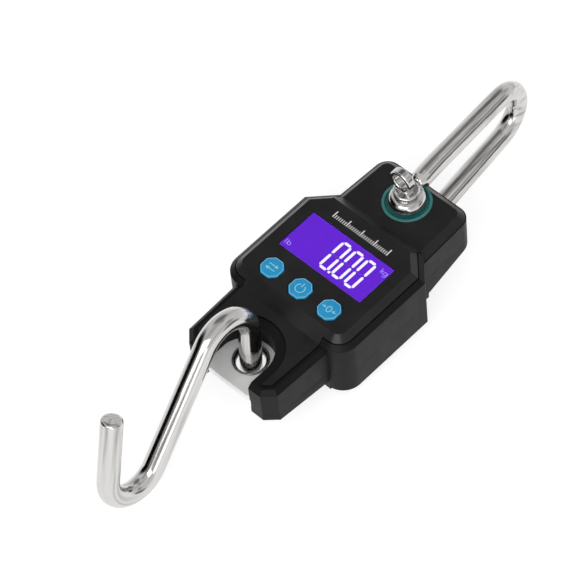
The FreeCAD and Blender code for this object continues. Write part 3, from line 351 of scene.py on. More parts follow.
def key_rubber(name):
    paint = Paint(name)
    paint.vary_colour(paint.noise(420, 4.0, 0.6), (0.016, 0.290, 0.560), (0.026, 0.345, 0.630))
    paint.vary_roughness(paint.noise(600, 3.0, 0.6), 0.42, 0.55)
    paint.bump(paint.noise(2400, 2.0, 0.6), 0.012, 0.5)
    paint.set("Specular IOR Level", 0.25)
    paint.set("Subsurface Weight", 0.15)
    paint.set("Subsurface Radius", (0.0006, 0.0008, 0.001))
    return paint.material


def key_legend(name):
    paint = Paint(name)
    paint.vary_colour(paint.noise(900, 3.0, 0.6), (0.22, 0.58, 0.78), (0.30, 0.68, 0.86))
    paint.vary_roughness(paint.noise(700, 2.0, 0.5), 0.4, 0.55)
    return paint.material


def white_ink(name):
    paint = Paint(name)
    paint.vary_colour(paint.noise(2200, 3.0, 0.6), (0.68, 0.68, 0.67), (0.88, 0.88, 0.86))
    paint.vary_roughness(paint.noise(1200, 2.0, 0.5), 0.42, 0.6)
    return paint.material


def display_clear(name):
    """The clear window over the display."""
    paint = Paint(name, (0.92, 0.90, 0.98), 0.02)
    paint.set("Transmission Weight", 1.0)
    paint.set("IOR", 1.46)
    paint.set("Specular IOR Level", 0.2)
    paint.bump(paint.noise(90, 2.0, 0.5), 0.004, 0.1)
    return paint.material


def display_glow(name):
    """The backlit panel."""
    paint = Paint(name, (0.02, 0.005, 0.06), 0.25)
    paint.glow(paint.noise(26, 2.0, 0.5), (0.25, 0.75), (0.112, 0.0040, 0.60), (0.138, 0.0055, 0.72))
    paint.set("Specular IOR Level", 0.1)
    return paint.material


def display_print(name, colour, rough, scale, dark, light):
    """Glowing shapes on the panel, lit or faint."""
    paint = Paint(name, colour, rough)
    paint.glow(paint.noise(scale, 2.0, 0.5), (0.0, 1.0), dark, light)
    return paint.material


def display_digits(name):
    return display_print(name, (0.4, 0.4, 0.45), 0.4, 400, (0.86, 0.82, 1.0), (1.0, 0.98, 1.0))


def display_marks(name):
    return display_print(name, (0.1, 0.08, 0.3), 0.4, 400, (0.36, 0.26, 0.86), (0.44, 0.34, 0.94))


def display_unlit(name):
    return display_print(name, (0.02, 0.005, 0.06), 0.3, 300, (0.110, 0.0062, 0.55), (0.128, 0.0080, 0.62))


def mottled(name, dark, light, rough, metallic, scale=500):
    """A plain material whose colour and roughness vary a little together."""
    paint = Paint(name, metallic=metallic)
    grain = paint.noise(scale, 3.0, 0.6)
    paint.vary_colour(grain, dark, light)
    paint.vary_roughness(grain, rough - SMOOTHER, rough + ROUGHER)
    return paint


def table_top(name):
    """A pale table that glows like a light table."""
    paint = mottled(name, (0.33, 0.33, 0.33), (0.35, 0.35, 0.35), 0.8, 0.0, 3.0)
    paint.set("Emission Color", (1.0, 1.0, 1.0, 1.0))
    paint.set("Emission Strength", 0.78)
    return paint.material


MATERIAL_MAKERS = {
    "case_front": case_front,
    "case_shell": case_shell,
    "hook_steel": polished_steel,
    "shackle_steel": shackle_steel,
    "cell_steel": cell_steel,
    "eyelet_steel": eyelet_steel,
    "screws": screw_steel,
    "bush_nylon": bush_nylon,
    "keys": key_rubber,
    "key_legend": key_legend,
    "white_ink": white_ink,
    "display_clear": display_clear,
    "display_glow": display_glow,
    "display_digits": display_digits,
    "display_marks": display_marks,
    "display_unlit": display_unlit,
    "floor": table_top,
}

# Materials of the parts inside: dark colour, light colour, roughness, metallic.
INNER_MATERIALS = {
    "circuit_board": ((0.010, 0.09, 0.04), (0.016, 0.13, 0.06), 0.3, 0.0),
    "chips": ((0.012, 0.012, 0.013), (0.022, 0.022, 0.023), 0.5, 0.0),
    "switches": ((0.35, 0.35, 0.36), (0.5, 0.5, 0.52), 0.35, 1.0),
    "gauges": ((0.55, 0.28, 0.06), (0.72, 0.40, 0.10), 0.4, 0.0),
    "battery_jacket": ((0.02, 0.03, 0.05), (0.035, 0.05, 0.08), 0.25, 0.0),
    "contact_metal": ((0.55, 0.53, 0.48), (0.72, 0.70, 0.64), 0.28, 1.0),
    "connector_rubber": ((0.30, 0.10, 0.10), (0.42, 0.16, 0.15), 0.6, 0.0),
    "backlight": ((0.62, 0.60, 0.70), (0.78, 0.76, 0.86), 0.3, 0.0),
}


def make_materials():
    made = {name: maker(name) for name, maker in MATERIAL_MAKERS.items()}
    for name, looks in INNER_MATERIALS.items():
        made[name] = mottled(name, *looks).material
    return made


# ---------------------------------------------------------------- mesh helpers
# Rings in the rounded rim at a bar's end.
RIM_STEPS = 6
# Millimetres of bar for one unit of its UV map.
UV_LENGTH = 10.0


def add_mesh(name, vertices, faces, smooth=True):
    """A mesh object from millimetre coordinates."""
    data = bpy.data.meshes.new(name)
    data.from_pydata([Vector(v) * MM for v in vertices], [], faces)
    data.validate()
    made = bpy.data.objects.new(name, data)
    SCENE.collection.objects.link(made)
    for face in data.polygons:
        face.use_smooth = smooth
    return made


def finish_piece(piece, material, body, replaces=()):
    """Gives a piece its material, its body and the CAD nodes it stands for."""
    piece.data.materials.clear()
    piece.data.materials.append(material)
    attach(piece, body)
    if replaces:
        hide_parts(*replaces)


def recalculate(piece):
    work = bmesh.new()
    work.from_mesh(piece.data)
    bmesh.ops.recalc_face_normals(work, faces=work.faces)
    work.to_mesh(piece.data)
    work.free()


def bake_modifiers(piece):
    graph = bpy.context.evaluated_depsgraph_get()
    data = bpy.data.meshes.new_from_object(piece.evaluated_get(graph))
    piece.modifiers.clear()
    piece.data = data
    for face in data.polygons:
        face.use_smooth = True


def bar_rings(path, radius, taper, end_radius):
    """Rings across a bar: centre, direction, side, radius and the length walked so far."""
    last = len(path) - 1
    length = sum((b - a).length for a, b in zip(path, path[1:]))
    side = (path[1] - path[0]).normalized().orthogonal().normalized()
    walked = 0.0
    rings = []
    for index, point in enumerate(path):
        tangent = (path[min(index + 1, last)] - path[max(index - 1, 0)]).normalized()
        if index:
            side = (side - tangent * side.dot(tangent)).normalized()
            walked += (point - path[index - 1]).length
        near_end = min(walked, length - walked)
        size = radius
        if near_end < taper:
            size = end_radius + (radius - end_radius) * near_end / taper
        rings.append((point, tangent, side.copy(), size, walked))
    return rings


def round_ends(rings, end_round):
    """Rounds a bar's rims, over the stretch of end_round at each end."""
    first, last = rings[0], rings[-1]
    start, end = [], []
    for step in range(RIM_STEPS):
        angle = math.radians(90.0 * step / RIM_STEPS)
        size = first[3] - end_round * (1 - math.sin(angle))
        back = end_round * (1 - math.cos(angle))
        start.append((first[0] + first[1] * back, first[1], first[2], size, first[4] + back))
        end.append((last[0] - last[1] * back, last[1], last[2], size, last[4] - back))
    inner = [ring for ring in rings if end_round < ring[4] < last[4] - end_round]
    return start + inner + list(reversed(end))


def sweep(name, path, radius, sides, end_round, taper=0.0, end_radius=None):
    """A round bar along a list of points, with rounded ends and a UV map that runs along it.

    Its ends narrow to end_radius over the taper length.
    """
    rings = round_ends(bar_rings([Vector(p) for p in path], radius, taper, end_radius), end_round)
    vertices, faces, uvs = [], [], []
    for point, tangent, side, size, _ in rings:
        up = tangent.cross(side)
        for k in range(sides):
            angle = 2 * math.pi * k / sides
            vertices.append(point + side * (size * math.cos(angle)) + up * (size * math.sin(angle)))
    count = len(rings)
    for r in range(count - 1):
        v0, v1 = rings[r][4] / UV_LENGTH, rings[r + 1][4] / UV_LENGTH
        for k in range(sides):
            nxt = (k + 1) % sides
            faces.append((r * sides + k, r * sides + nxt, (r + 1) * sides + nxt, (r + 1) * sides + k))
            u0, u1 = k / sides, (k + 1) / sides
            uvs.append([(u0, v0), (u1, v0), (u1, v1), (u0, v1)])
    faces.append(tuple(reversed(range(sides))))
    uvs.append([(k / sides, 0.0) for k in range(sides)])
    faces.append(tuple(range((count - 1) * sides, count * sides)))
    uvs.append([(k / sides, 1.0) for k in range(sides)])
    piece = add_mesh(name, vertices, faces)
    layer = piece.data.uv_layers.new(name="along")
    for polygon, corners in zip(piece.data.polygons, uvs):
        for loop, uv in zip(polygon.loop_indices, corners):
            layer.data[loop].uv = uv
    recalculate(piece)
    return piece


def arc(centre, radius, start, end, steps):
    """Points on a planar arc; angles in degrees."""
    points = []
    for index in range(steps + 1):
        angle = math.radians(start + (end - start) * index / steps)
        points.append((centre[0] + radius * math.cos(angle), centre[1] + radius * math.sin(angle)))
    return points


def lathe(name, profile, centre, sides=96):
    """Turns a closed (radius, height) outline about the Z axis through centre."""
    vertices, faces = [], []
    count = len(profile)
    for k in range(sides):
        angle = 2 * math.pi * k / sides
        for radius, height in profile:
            vertices.append((centre[0] + radius * math.cos(angle),
                             centre[1] + radius * math.sin(angle), height))
    for k in range(sides):
        nxt = (k + 1) % sides
        for index in range(count):
            after = (index + 1) % count
            faces.append((k * count + index, nxt * count + index, nxt * count + after, k * count + after))
    piece = add_mesh(name, vertices, faces)
    recalculate(piece)
    return piece


def rounded(corners, radius, steps=5):
    """A polygon whose corners are all rounded by a radius, or by less where its sides are short."""
    side_share = 0.48
    outline = []
    count = len(corners)
    for index, corner in enumerate(corners):
        here = Vector(corner)
        before = Vector(corners[index - 1]) - here
        after = Vector(corners[(index + 1) % count]) - here
        half = before.angle(after) / 2
        reach = min(radius / math.tan(half), before.length * side_share, after.length * side_share)
        bend = reach * math.tan(half)
        start = here + before.normalized() * reach
        end = here + after.normalized() * reach
        centre = here + (before.normalized() + after.normalized()).normalized() * (bend / math.sin(half))
        a0 = math.atan2(start.y - centre.y, start.x - centre.x)
        a1 = math.atan2(end.y - centre.y, end.x - centre.x)
        turn = (a1 - a0 + math.pi) % (2 * math.pi) - math.pi
        for step in range(steps + 1):
            angle = a0 + turn * step / steps
            outline.append((centre.x + bend * math.cos(angle), centre.y + bend * math.sin(angle)))
    return outline


def prism_layers(name, layers, smooth=False):
    """A solid from matching outlines at rising heights: [(outline, z), ...]."""
    vertices, faces = [], []
    count = len(layers[0][0])
    for outline, height in layers:
        vertices += [(x, y, height) for x, y in outline]
    for level in range(len(layers) - 1):
        for k in range(count):
            nxt = (k + 1) % count
            base = level * count
            faces.append((base + k, base + nxt, base + count + nxt, base + count + k))
    faces.append(tuple(reversed(range(count))))
    top = (len(layers) - 1) * count
    faces.append(tuple(range(top, top + count)))
    piece = add_mesh(name, vertices, faces, smooth)
    recalculate(piece)
    return piece


def ribbon(points, width, closed=False):
    """A flat line of that width with mitred corners, as (left, right, closed)."""
    points = [Vector(p) for p in points]
    count = len(points)
    left, right = [], []
    for index, here in enumerate(points):
        before = points[index - 1] if closed or index else None
        after = points[(index + 1) % count] if closed or index + 1 < count else None
        ways = [(b - a).normalized() for a, b in ((before, here), (here, after)) if a and b]
        along = sum(ways, Vector((0.0, 0.0))).normalized()
        side = Vector((-along.y, along.x)) * (width / 2 / max(along.dot(ways[0]), 0.5))
        left.append(here + side)
        right.append(here - side)
    return left, right, closed


def ribbon_faces(count, closed):
    """Corner numbers of a ribbon's faces: left low, right low, left high and right high at each point."""
    faces = []
    for index in range(count if closed else count - 1):
        a, b = index * 4, (index + 1) % count * 4
        faces += [(a, a + 1, b + 1, b), (a + 2, b + 2, b + 3, a + 3),
                  (a, b, b + 2, a + 2), (a + 1, a + 3, b + 3, b + 1)]
    if not closed:
        last = (count - 1) * 4
        faces += [(0, 2, 3, 1), (last, last + 1, last + 3, last + 2)]
    return faces


def flat_pieces(name, shapes, low, high):
    """Thin printed or raised polygons and ribbons, joined in one mesh."""
    vertices, faces = [], []
    for shape in shapes:
        base = len(vertices)
        if isinstance(shape, tuple):
            left, right, closed = shape
            for a, b in zip(left, right):
                vertices += [(a[0], a[1], low), (b[0], b[1], low), (a[0], a[1], high), (b[0], b[1], high)]
            made = ribbon_faces(len(left), closed)
        else:
            count = len(shape)
            vertices += [(p[0], p[1], low) for p in shape] + [(p[0], p[1], high) for p in shape]
            made = [tuple(reversed(range(count))), tuple(range(count, count * 2))]
            made += [(k, (k + 1) % count, count + (k + 1) % count, count + k) for k in range(count)]
        faces += [tuple(base + k for k in face) for face in made]
    piece = add_mesh(name, vertices, faces, False)
    recalculate(piece)
    return piece


def shifted(shapes, x, y):
    """The same polygons and ribbons, moved."""
    step = Vector((x, y))
    moved = []
    for shape in shapes:
        if isinstance(shape, tuple):
            left, right, closed = shape
            moved.append(([p + step for p in left], [p + step for p in right], closed))
        else:
            moved.append([(p[0] + x, p[1] + y) for p in shape])
    return moved


# ---------------------------------------------------------------- pieces
# CAD nodes whose shape is kept: material slot and the width of their rounded edges.
CAD_LOOKS = {
    "front_cover": ("case_front", 0.35),
    "front_shell": ("case_shell", 0.30),
    "rear_shell": ("case_shell", 0.30),
    "battery_door": ("case_shell", 0.20),
    "load_cell": ("cell_steel", 0.12),
    "front_pin_bush": ("bush_nylon", 0.25),
    "rear_pin_bush": ("bush_nylon", 0.25),
    "housing_screws": ("screws", 0.12),
    "load_cell_screws": ("screws", 0.12),
    "pcb_screws": ("screws", 0.1),
    "main_pcb": ("circuit_board", 0.1),
    "board_chips": ("chips", 0.1),
    "buzzer": ("chips", 0.1),
    "tact_switches": ("switches", 0.1),
    "strain_gauges": ("gauges", 0.03),
    "gauge_flex": ("gauges", 0.03),
    "batteries": ("battery_jacket", 0.2),
    "battery_springs": ("contact_metal", 0.0),
    "battery_contacts": ("contact_metal", 0.05),
    "lcd_backlight": ("backlight", 0.1),
    "lcd_connectors": ("connector_rubber", 0.1),
}
WELD_DISTANCE = 0.01
FLAT_ANGLE = 1.0
EDGE_ANGLE = 24


def round_edges(node, width):
    """Merges the flat faces, then rounds the edges between them."""
    flats = node.modifiers.new("flats", "DECIMATE")
    flats.decimate_type = "DISSOLVE"
    flats.angle_limit = math.radians(FLAT_ANGLE)
    bevel = node.modifiers.new("edges", "BEVEL")
    bevel.width = width * MM
    bevel.segments = 3
    bevel.limit_method = "ANGLE"
    bevel.angle_limit = math.radians(EDGE_ANGLE)
    weighted = node.modifiers.new("shading", "WEIGHTED_NORMAL")
    weighted.keep_sharp = True


def dress_cad_nodes(materials):
    for name, (slot, width) in CAD_LOOKS.items():
        node = NODES[name]
        node.data.materials.clear()
        node.data.materials.append(materials[slot])
        for face in node.data.polygons:
            face.use_smooth = True
        weld = node.modifiers.new("weld", "WELD")
        weld.merge_threshold = WELD_DISTANCE * MM
        if width:
            round_edges(node, width)


# The S-hook's bar and the radius of both its bends.
HOOK_RADIUS = 4.4
HOOK_BEND = 12.4
# It starts this far under the eyelet's middle.
HOOK_START = 8.0
# Degrees by which its eyelet end leans from upright, and its plane from the YZ plane.
HOOK_LEAN = 10.2
HOOK_ROLL = 6.2
# Straight lengths and turns in degrees: through the eyelet, over the crown, down the shank, up the throat.
HOOK_TAIL = 24.5
HOOK_CROWN = -144.5
HOOK_SHANK = 50.7
HOOK_THROAT = 153.4
HOOK_TIP = 29.6


def run(line, heading, length, steps):
    """Lengthens a plane line by a straight stretch."""
    x, y = line[-1]
    for k in range(1, steps + 1):
        line.append((x + length * math.cos(heading) * k / steps,
                     y + length * math.sin(heading) * k / steps))


def bend(line, heading, turn, steps):
    """Lengthens a plane line by an arc through some degrees, and gives its new heading."""
    x, y = line[-1]
    side = 1.0 if turn > 0 else -1.0
    normal = heading + side * math.pi / 2
    centre_x = x + HOOK_BEND * math.cos(normal)
    centre_y = y + HOOK_BEND * math.sin(normal)
    for k in range(1, steps + 1):
        angle = normal + math.pi + math.radians(turn) * k / steps
        line.append((centre_x + HOOK_BEND * math.cos(angle), centre_y + HOOK_BEND * math.sin(angle)))
    return heading + math.radians(turn)


def hook_path():
    """The S-hook's centre line, drawn in its own plane (towards -Y, up) and set in the eyelet."""
    heading = math.radians(90.0) + math.radians(HOOK_LEAN)
    line = [(-HOOK_START * math.cos(heading), -HOOK_START * math.sin(heading))]
    run(line, heading, HOOK_TAIL, 16)
    heading = bend(line, heading, HOOK_CROWN, 40)
    run(line, heading, HOOK_SHANK, 24)
    heading = bend(line, heading, HOOK_THROAT, 40)
    run(line, heading, HOOK_TIP, 18)
    roll = math.radians(HOOK_ROLL)
    x, y, z = EYELET
    return [(x - up * math.sin(roll), y - out, z + up * math.cos(roll)) for out, up in line]


def make_hook(materials):
    hook = sweep("hook_bar", hook_path(), HOOK_RADIUS, sides=64, end_round=1.4)
    finish_piece(hook, materials["hook_steel"], "hook", ["s_hook"])


def fused(name, parts, voxel_mm, smooth_steps):
    """Joins overlapping solids into one forged-looking skin."""
    bpy.ops.object.select_all(action="DESELECT")
    for part in parts:
        part.select_set(True)
    bpy.context.view_layer.objects.active = parts[0]
    bpy.ops.object.join()
    piece = parts[0]
    piece.name = name
    piece.data.name = name
    remesh = piece.modifiers.new("remesh", "REMESH")
    remesh.mode = "VOXEL"
    remesh.voxel_size = voxel_mm * MM
    remesh.adaptivity = 0.0
    soften = piece.modifiers.new("soften", "SMOOTH")
    soften.factor = 0.5
    soften.iterations = smooth_steps
    bake_modifiers(piece)
    return piece


def bow_path():
    """The shackle's centre line in its own (length, height) plane: two bars that ease in to a bow."""
    half_root = 14.7
    straight_end = 18.0
    easing = 60.0
    half_bow = 12.55
    centre = 59.2
    ease_steps, bar_steps, bow_steps = 6, 18, 48
    across, along = centre - straight_end, easing - half_root
    slope = math.atan2(across, along) - math.acos((easing - half_bow) / math.hypot(across, along))
    # Beside the eye the bar starts a little nearer the middle: (length, how much nearer).
    root = ((5.8, 0.9), (7.2, 0.55), (9.0, 0.25), (11.5, 0.05), (14.0, 0.0), (16.0, 0.0), (straight_end, 0.0))
    top = [(x, half_root - nearer) for x, nearer in root]
    for k in range(1, ease_steps + 1):
        angle = slope * k / ease_steps
        top.append((straight_end + easing * math.sin(angle), half_root - easing * (1 - math.cos(angle))))
    start = top[-1]
    end = (centre + half_bow * math.sin(slope), half_bow * math.cos(slope))
    for k in range(1, bar_steps + 1):
        share = k / bar_steps
        top.append((start[0] + (end[0] - start[0]) * share, start[1] + (end[1] - start[1]) * share))
    turn = 90.0 - math.degrees(slope)
    bow = arc((centre, 0.0), half_bow, turn, -turn, bow_steps)[1:-1]
    bottom = [(x, -z) for x, z in reversed(top)]
    return top + bow + bottom


def domed_ring(bore, crown, outer, low, high):
    """The section of a forged eye: a flat foot and a domed shoulder from its rim up to the crown."""
    shoulder = low + 0.4
    dome_steps = 12
    profile = [(bore, low), (outer - 0.25, low), (outer - 0.07, low + 0.1), (outer, low + 0.3)]
    for step in range(1, dome_steps + 1):
        angle = math.radians(90.0 * step / dome_steps)
        profile.append((crown + (outer - crown) * math.cos(angle),
                        shoulder + (high - shoulder) * math.sin(angle)))
    profile.append((bore, high))
    return profile


def make_shackle(materials):
    """Two forged eyes on a bent bar that narrows towards them."""
    bar_radius, root_radius, taper = 4.1, 3.6, 4.0
    eye_bore, eye_crown, eye_rim = 4.05, 4.7, 7.7
    eye_inside, eye_outside = 10.7, 15.1
    path = [(0.0, x, z) for x, z in bow_path()]
    parts = [sweep("bow", path, bar_radius, 56, end_round=2.6, taper=taper, end_radius=root_radius)]
    for side in (1, -1):
        section = domed_ring(eye_bore, eye_crown, eye_rim, eye_inside, eye_outside)
        parts.append(lathe("eye", [(r, h * side) for r, h in section], (0, 0), 72))
    bow = fused("shackle_forging", parts, voxel_mm=0.26, smooth_steps=6)
    turn = Matrix.Rotation(math.radians(SHACKLE_TURN), 4, "Z")
    bow.data.transform(Matrix.Translation((0, PIN_Y * MM, BOW_Z * MM)) @ turn)
    finish_piece(bow, materials["shackle_steel"], "shackle", ["shackle_bow"])


def make_pin(materials):
    """The pin: a shank, a slim neck, a rounded collar and an upright ring."""
    eye_top = 31.4
    collar_top = 34.6
    foot = BOW_Z * 2 - eye_top + 0.3
    axis, shank, neck = 0.01, 3.98, 4.6
    section = [(axis, foot), (3.2, foot), (3.7, foot + 0.3), (shank, foot + 0.8), (shank, eye_top - 0.1),
               (neck, eye_top + 0.05), (neck, collar_top - 2.3)]
    section += [(4.5 + r, z + collar_top - 1.15) for r, z in arc((0, 0), 0.9, -75, 75, 10)]
    section.append((axis, collar_top))
    body = lathe("pin", section, (0, PIN_Y), 72)
    ring_centre = (-1.6, collar_top + 4.2)
    ring_radius, hole_radius, thickness, edge = 5.2, 3.4, 3.6, 0.7
    ring = arc(ring_centre, ring_radius, 0, 360, 64)[:-1]
    hole = arc(ring_centre, hole_radius, 0, 360, 48)[:-1]
    lug = plate_with_hole("lug", ring, hole, thickness, edge)
    pin = fused("pin_with_eye", [body, lug], voxel_mm=0.22, smooth_steps=4)
    finish_piece(pin, materials["shackle_steel"], "shackle", ["shackle_pin"])


def plate_with_hole(name, outer, hole, thickness, edge):
    """An upright plate in the XZ plane at the pin, with a round hole and rounded edges."""
    work = bmesh.new()
    rims = []
    for outline in (outer, hole):
        ring = [work.verts.new((x * MM, 0, z * MM)) for x, z in outline]
        rims += [work.edges.new((ring[k], ring[(k + 1) % len(ring)])) for k in range(len(ring))]
    bmesh.ops.triangle_fill(work, use_beauty=True, edges=rims)
    raised = bmesh.ops.extrude_face_region(work, geom=work.faces[:])
    far_side = [v for v in raised["geom"] if isinstance(v, bmesh.types.BMVert)]
    bmesh.ops.translate(work, verts=far_side, vec=(0, thickness * MM, 0))
    bmesh.ops.translate(work, verts=work.verts[:], vec=(0, (PIN_Y - thickness / 2) * MM, 0))
    bmesh.ops.recalc_face_normals(work, faces=work.faces)
    corner = math.radians(60)
    sharp = [e for e in work.edges if e.is_manifold and e.calc_face_angle(0) > corner]
    bmesh.ops.bevel(work, geom=sharp, offset=edge * MM, segments=5, affect="EDGES", profile=0.5,
                    clamp_overlap=True)
    data = bpy.data.meshes.new(name)
    work.to_mesh(data)
    work.free()
    plate = bpy.data.objects.new(name, data)
    SCENE.collection.objects.link(plate)
    return plate


def make_eyelet(materials):
    """A rolled eyelet, the same at both ends, with small steps inside and a flange outside."""
    low, high = 12.45, 16.75
    # Radius, and depth from the nearer end.
    half = [(5.70, 2.1), (5.74, 1.5), (5.95, 1.1), (5.97, 0.85), (6.18, 0.75), (6.2, 0.5), (6.42, 0.4),
            (6.45, 0.1), (6.6, 0.0), (7.0, 0.0), (7.22, 0.08), (7.3, 0.25), (7.2, 0.5), (6.65, 0.5)]
    section = [(r, low + depth) for r, depth in half] + [(r, high - depth) for r, depth in reversed(half)]
    ring = lathe("eyelet_ring", section, (EYELET[0], EYELET[1]))
    finish_piece(ring, materials["eyelet_steel"], "eyelet", ["hook_bush"])


def key_octagon(half, cut, radius):
    """An octagon of that half width, with its corners cut by that much and then rounded."""
    inner = half - cut
    corners = [(half, -inner), (half, inner), (inner, half), (-inner, half),
               (-half, inner), (-half, -inner), (-inner, -half), (inner, -half)]
    return rounded(corners, radius)


KEY_TOP = FACE_Z + 0.5
# Octagons of a key from its skirt up to its middle: half width, cut, corner radius, height.
KEY_LAYERS = (
    (5.5, 2.9, 1.2, 28.05),
    (5.5, 2.9, 1.2, 29.05),
    (4.5, 2.5, 1.2, 29.1),
    (4.5, 2.5, 1.2, KEY_TOP - 0.45),
    (4.46, 2.48, 1.2, KEY_TOP - 0.3),
    (4.3, 2.4, 1.15, KEY_TOP - 0.14),
    (3.7, 2.05, 1.0, KEY_TOP - 0.1),
    (2.4, 1.3, 0.6, KEY_TOP - 0.05),
    (1.0, 0.55, 0.25, KEY_TOP - 0.03),
)
KEY_BORDER = (4.12, 2.3, 1.1)
BORDER_WIDTH = 0.2
ICON_DEPTH = 0.14


def make_keys(materials):
    """Rubber keys: a rounded octagon with a slim raised rim and a gently domed middle."""
    layers = [(key_octagon(half, cut, radius), height) for half, cut, radius, height in KEY_LAYERS]
    for column, body, node, icon in ((-1, "unit_key", "unit_button", swap_icon()),
                                     (0, "power_key", "power_button", power_icon()),
                                     (1, "tare_key", "tare_button", tare_icon())):
        x = KEY_PITCH * column
        key = prism_layers(node + "_cap", layers, True)
        key.data.transform(Matrix.Translation((x * MM, KEY_Y * MM, 0)))
        finish_piece(key, materials["keys"], body, [node])
        border = ribbon(key_octagon(*KEY_BORDER), BORDER_WIDTH, True)
        shapes = shifted([border] + icon, x, KEY_Y)
        mark = flat_pieces(node + "_icon", shapes, KEY_TOP - ICON_DEPTH, KEY_TOP)
        finish_piece(mark, materials["key_legend"], body)


def swap_icon():
    """Two arrows that point opposite ways."""
    shapes = []
    for side in (1, -1):
        y = 0.95 * side
        shapes.append(ribbon([(-2.1 * side, y), (0.98 * side, y)], 0.42))
        shapes.append([(2.5 * side, y), (1.0 * side, y + 0.95 * side), (1.0 * side, y - 0.75 * side)])
    return shapes


def power_icon():
    """A broken ring with a bar through the gap."""
    ring = arc((0, -0.15), 1.95, 122, 418, 26)
    return [ribbon(ring, 0.42), ribbon([(0, 0.5), (0, 2.5)], 0.42)]


def tare_icon():
    """A zero between two arrows that point at it."""
    zero = [(x * 0.72, y) for x, y in arc((0, 0), 1.35, 0, 360, 22)[:-1]]
    shapes = [ribbon(zero, 0.38, True)]
    for side in (1, -1):
        shapes.append(ribbon([(3.35 * side, 0), (2.52 * side, 0)], 0.36))
        shapes.append([(1.55 * side, 0), (2.5 * side, 0.75), (2.5 * side, -0.75)])
    return shapes


# The bars of a seven-segment digit on a unit square.
SEGMENTS = {
    "a": ((0, 1), (1, 1)),
    "b": ((1, 1), (1, 0.5)),
    "c": ((1, 0.5), (1, 0)),
    "d": ((0, 0), (1, 0)),
    "e": ((0, 0.5), (0, 0)),
    "f": ((0, 1), (0, 0.5)),
    "g": ((0, 0.5), (1, 0.5)),
}
DIGIT_LEFTS = (-2.75, 3.65, 10.05)
DIGIT_FOOT = -3.35
DIGIT_WIDTH = 3.95
DIGIT_HEIGHT = 13.9
SEGMENT_WIDTH = 1.15
SEGMENT_GAP = 0.22
POINT_HALF = 0.5
POINT_FOOT = -3.9
LIT_POINT_X = 2.45
UNLIT_POINT_X = 8.85


def segment(start, end):
    """One bar of a seven-segment digit, with pointed ends."""
    a, b = Vector(start), Vector(end)
    along = (b - a).normalized()
    side = Vector((-along.y, along.x)) * (SEGMENT_WIDTH / 2)
    a, b = a + along * SEGMENT_GAP, b - along * SEGMENT_GAP
    slant = along * (SEGMENT_WIDTH / 2)
    return [a, a + slant - side, b - slant - side, b, b - slant + side, a + slant + side]


def decimal_point(x):
    low, high = POINT_FOOT, POINT_FOOT + 2 * POINT_HALF
    return [(x - POINT_HALF, low), (x + POINT_HALF, low), (x + POINT_HALF, high), (x - POINT_HALF, high)]


def digit_shapes():
    """The shapes of a 0.00 reading that are lit, and those that aren't."""
    lit, unlit = [], []
    for left in DIGIT_LEFTS:
        for name, ends in SEGMENTS.items():
            start, end = [(left + x * DIGIT_WIDTH, DIGIT_FOOT + y * DIGIT_HEIGHT) for x, y in ends]
            shapes = unlit if name == "g" else lit
            shapes.append(segment(start, end))
    return lit + [decimal_point(LIT_POINT_X)], unlit + [decimal_point(UNLIT_POINT_X)]


def display_plate(name, margin, radius, steps, levels, shrink):
    """A plate as large as the display plus a margin, at three levels, a little smaller at the last."""
    half_width, half_height = DISPLAY_SIZE[0] / 2 + margin, DISPLAY_SIZE[1] / 2 + margin
    corners = [(half_width, DISPLAY_Y - half_height), (half_width, DISPLAY_Y + half_height),
               (-half_width, DISPLAY_Y + half_height), (-half_width, DISPLAY_Y - half_height)]
    outline = rounded(corners, radius, steps)
    slim = [(x * shrink[0], DISPLAY_Y + (y - DISPLAY_Y) * shrink[1]) for x, y in outline]
    low, rim, high = levels
    return prism_layers(name, [(outline, low), (outline, rim), (slim, high)])


def make_display(materials):
    """A glowing panel under a clear window, with digits, unit marks and unlit shapes on it."""
    panel = display_plate("lcd_panel", 0.3, 0.3, 3, (27.8, PANEL_TOP - 0.05, PANEL_TOP), (0.997, 0.995))
    finish_piece(panel, materials["display_glow"], "housing", ["lcd_glass"])
    window = display_plate("display_window", -0.08, 0.35, 4, (PANEL_TOP + 0.2, 31.0, 31.2), (0.990, 0.979))
    finish_piece(window, materials["display_clear"], "housing", ["display_lens"])
    lit, unlit = digit_shapes()
    foot = PANEL_TOP + 0.02
    digits = flat_pieces("lcd_digits", lit, foot, PANEL_TOP + 0.07)
    finish_piece(digits, materials["display_digits"], "housing")
    letters = flat_pieces("lcd_unit_marks", unit_letters(), foot, PANEL_TOP + 0.06)
    finish_piece(letters, materials["display_marks"], "housing")
    ghosts = flat_pieces("lcd_unlit_segments", unlit, foot, PANEL_TOP + 0.05)
    finish_piece(ghosts, materials["display_unlit"], "housing")


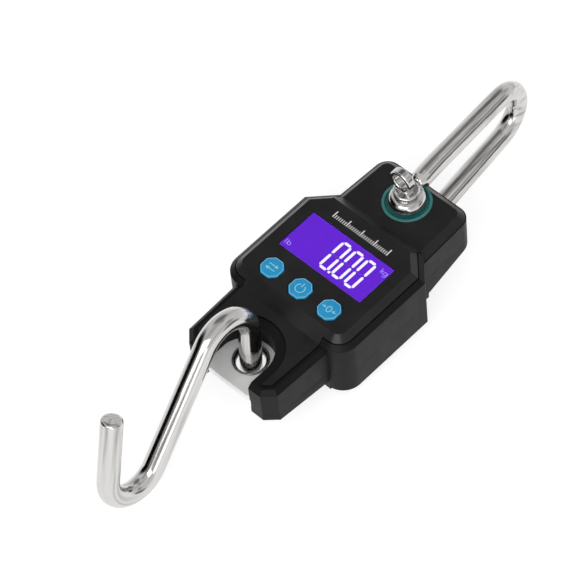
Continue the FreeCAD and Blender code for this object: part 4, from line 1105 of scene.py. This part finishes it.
def unit_letters():
    """The two unit marks: kilograms at the upper right, pounds at the lower left."""
    width = 0.24
    tall = 2.3
    bowl = arc((0.0, 0.8), 0.7, 0, 360, 14)[:-1]
    k = [ribbon([(0, 0), (0, tall)], width), ribbon([(0.14, 0.85), (1.0, 1.6)], width),
         ribbon([(0.5, 0.95), (1.1, 0)], width)]
    tail = [(0.85, 1.55), (0.85, -0.3), (0.5, -0.75), (-0.15, -0.8), (-0.5, -0.6)]
    g = shifted([ribbon(bowl, width, True), ribbon(tail, width)], 2.2, 0)
    b = shifted([ribbon([(-0.85, 0), (-0.85, tall)], width), ribbon(bowl, width, True)], 1.85, 0)
    stem = [ribbon([(0, 0), (0, tall)], width)]
    return shifted(k + g, 17.1, 9.0) + shifted(stem + b, -20.3, -4.3)


GRADUATIONS = 29
GRADUATION_START = -14.0
GRADUATION_FOOT = 16.1
LONG_EVERY = 7
# Half width and height of a mark.
LONG_MARK = (0.24, 3.2)
SHORT_MARK = (0.17, 1.7)
INK_HALF = 0.02


def make_graduations(materials):
    """A short printed rule above the display, 1 mm between marks."""
    shapes = []
    for index in range(GRADUATIONS):
        x = GRADUATION_START + index
        half, height = SHORT_MARK if index % LONG_EVERY else LONG_MARK
        low, high = GRADUATION_FOOT, GRADUATION_FOOT + height
        shapes.append([(x - half, low), (x + half, low), (x + half, high), (x - half, high)])
    marks = flat_pieces("graduations", shapes, FACE_Z - INK_HALF, FACE_Z + INK_HALF)
    finish_piece(marks, materials["white_ink"], "housing")


def make_floor(materials):
    """A table top just under the scale."""
    half_size = 4.0
    gap = 0.0002
    lowest = min(cad_low.z, -0.002)
    work = bmesh.new()
    bmesh.ops.create_grid(work, x_segments=8, y_segments=8, size=half_size)
    data = bpy.data.meshes.new("floor")
    work.to_mesh(data)
    work.free()
    floor = bpy.data.objects.new("floor", data)
    SCENE.collection.objects.link(floor)
    floor.location.z = lowest - gap
    floor.data.materials.append(materials["floor"])


make_camera()
make_studio()
MATERIALS = make_materials()
make_floor(MATERIALS)
dress_cad_nodes(MATERIALS)
make_hook(MATERIALS)
make_shackle(MATERIALS)
make_pin(MATERIALS)
make_eyelet(MATERIALS)
make_keys(MATERIALS)
make_display(MATERIALS)
make_graduations(MATERIALS)
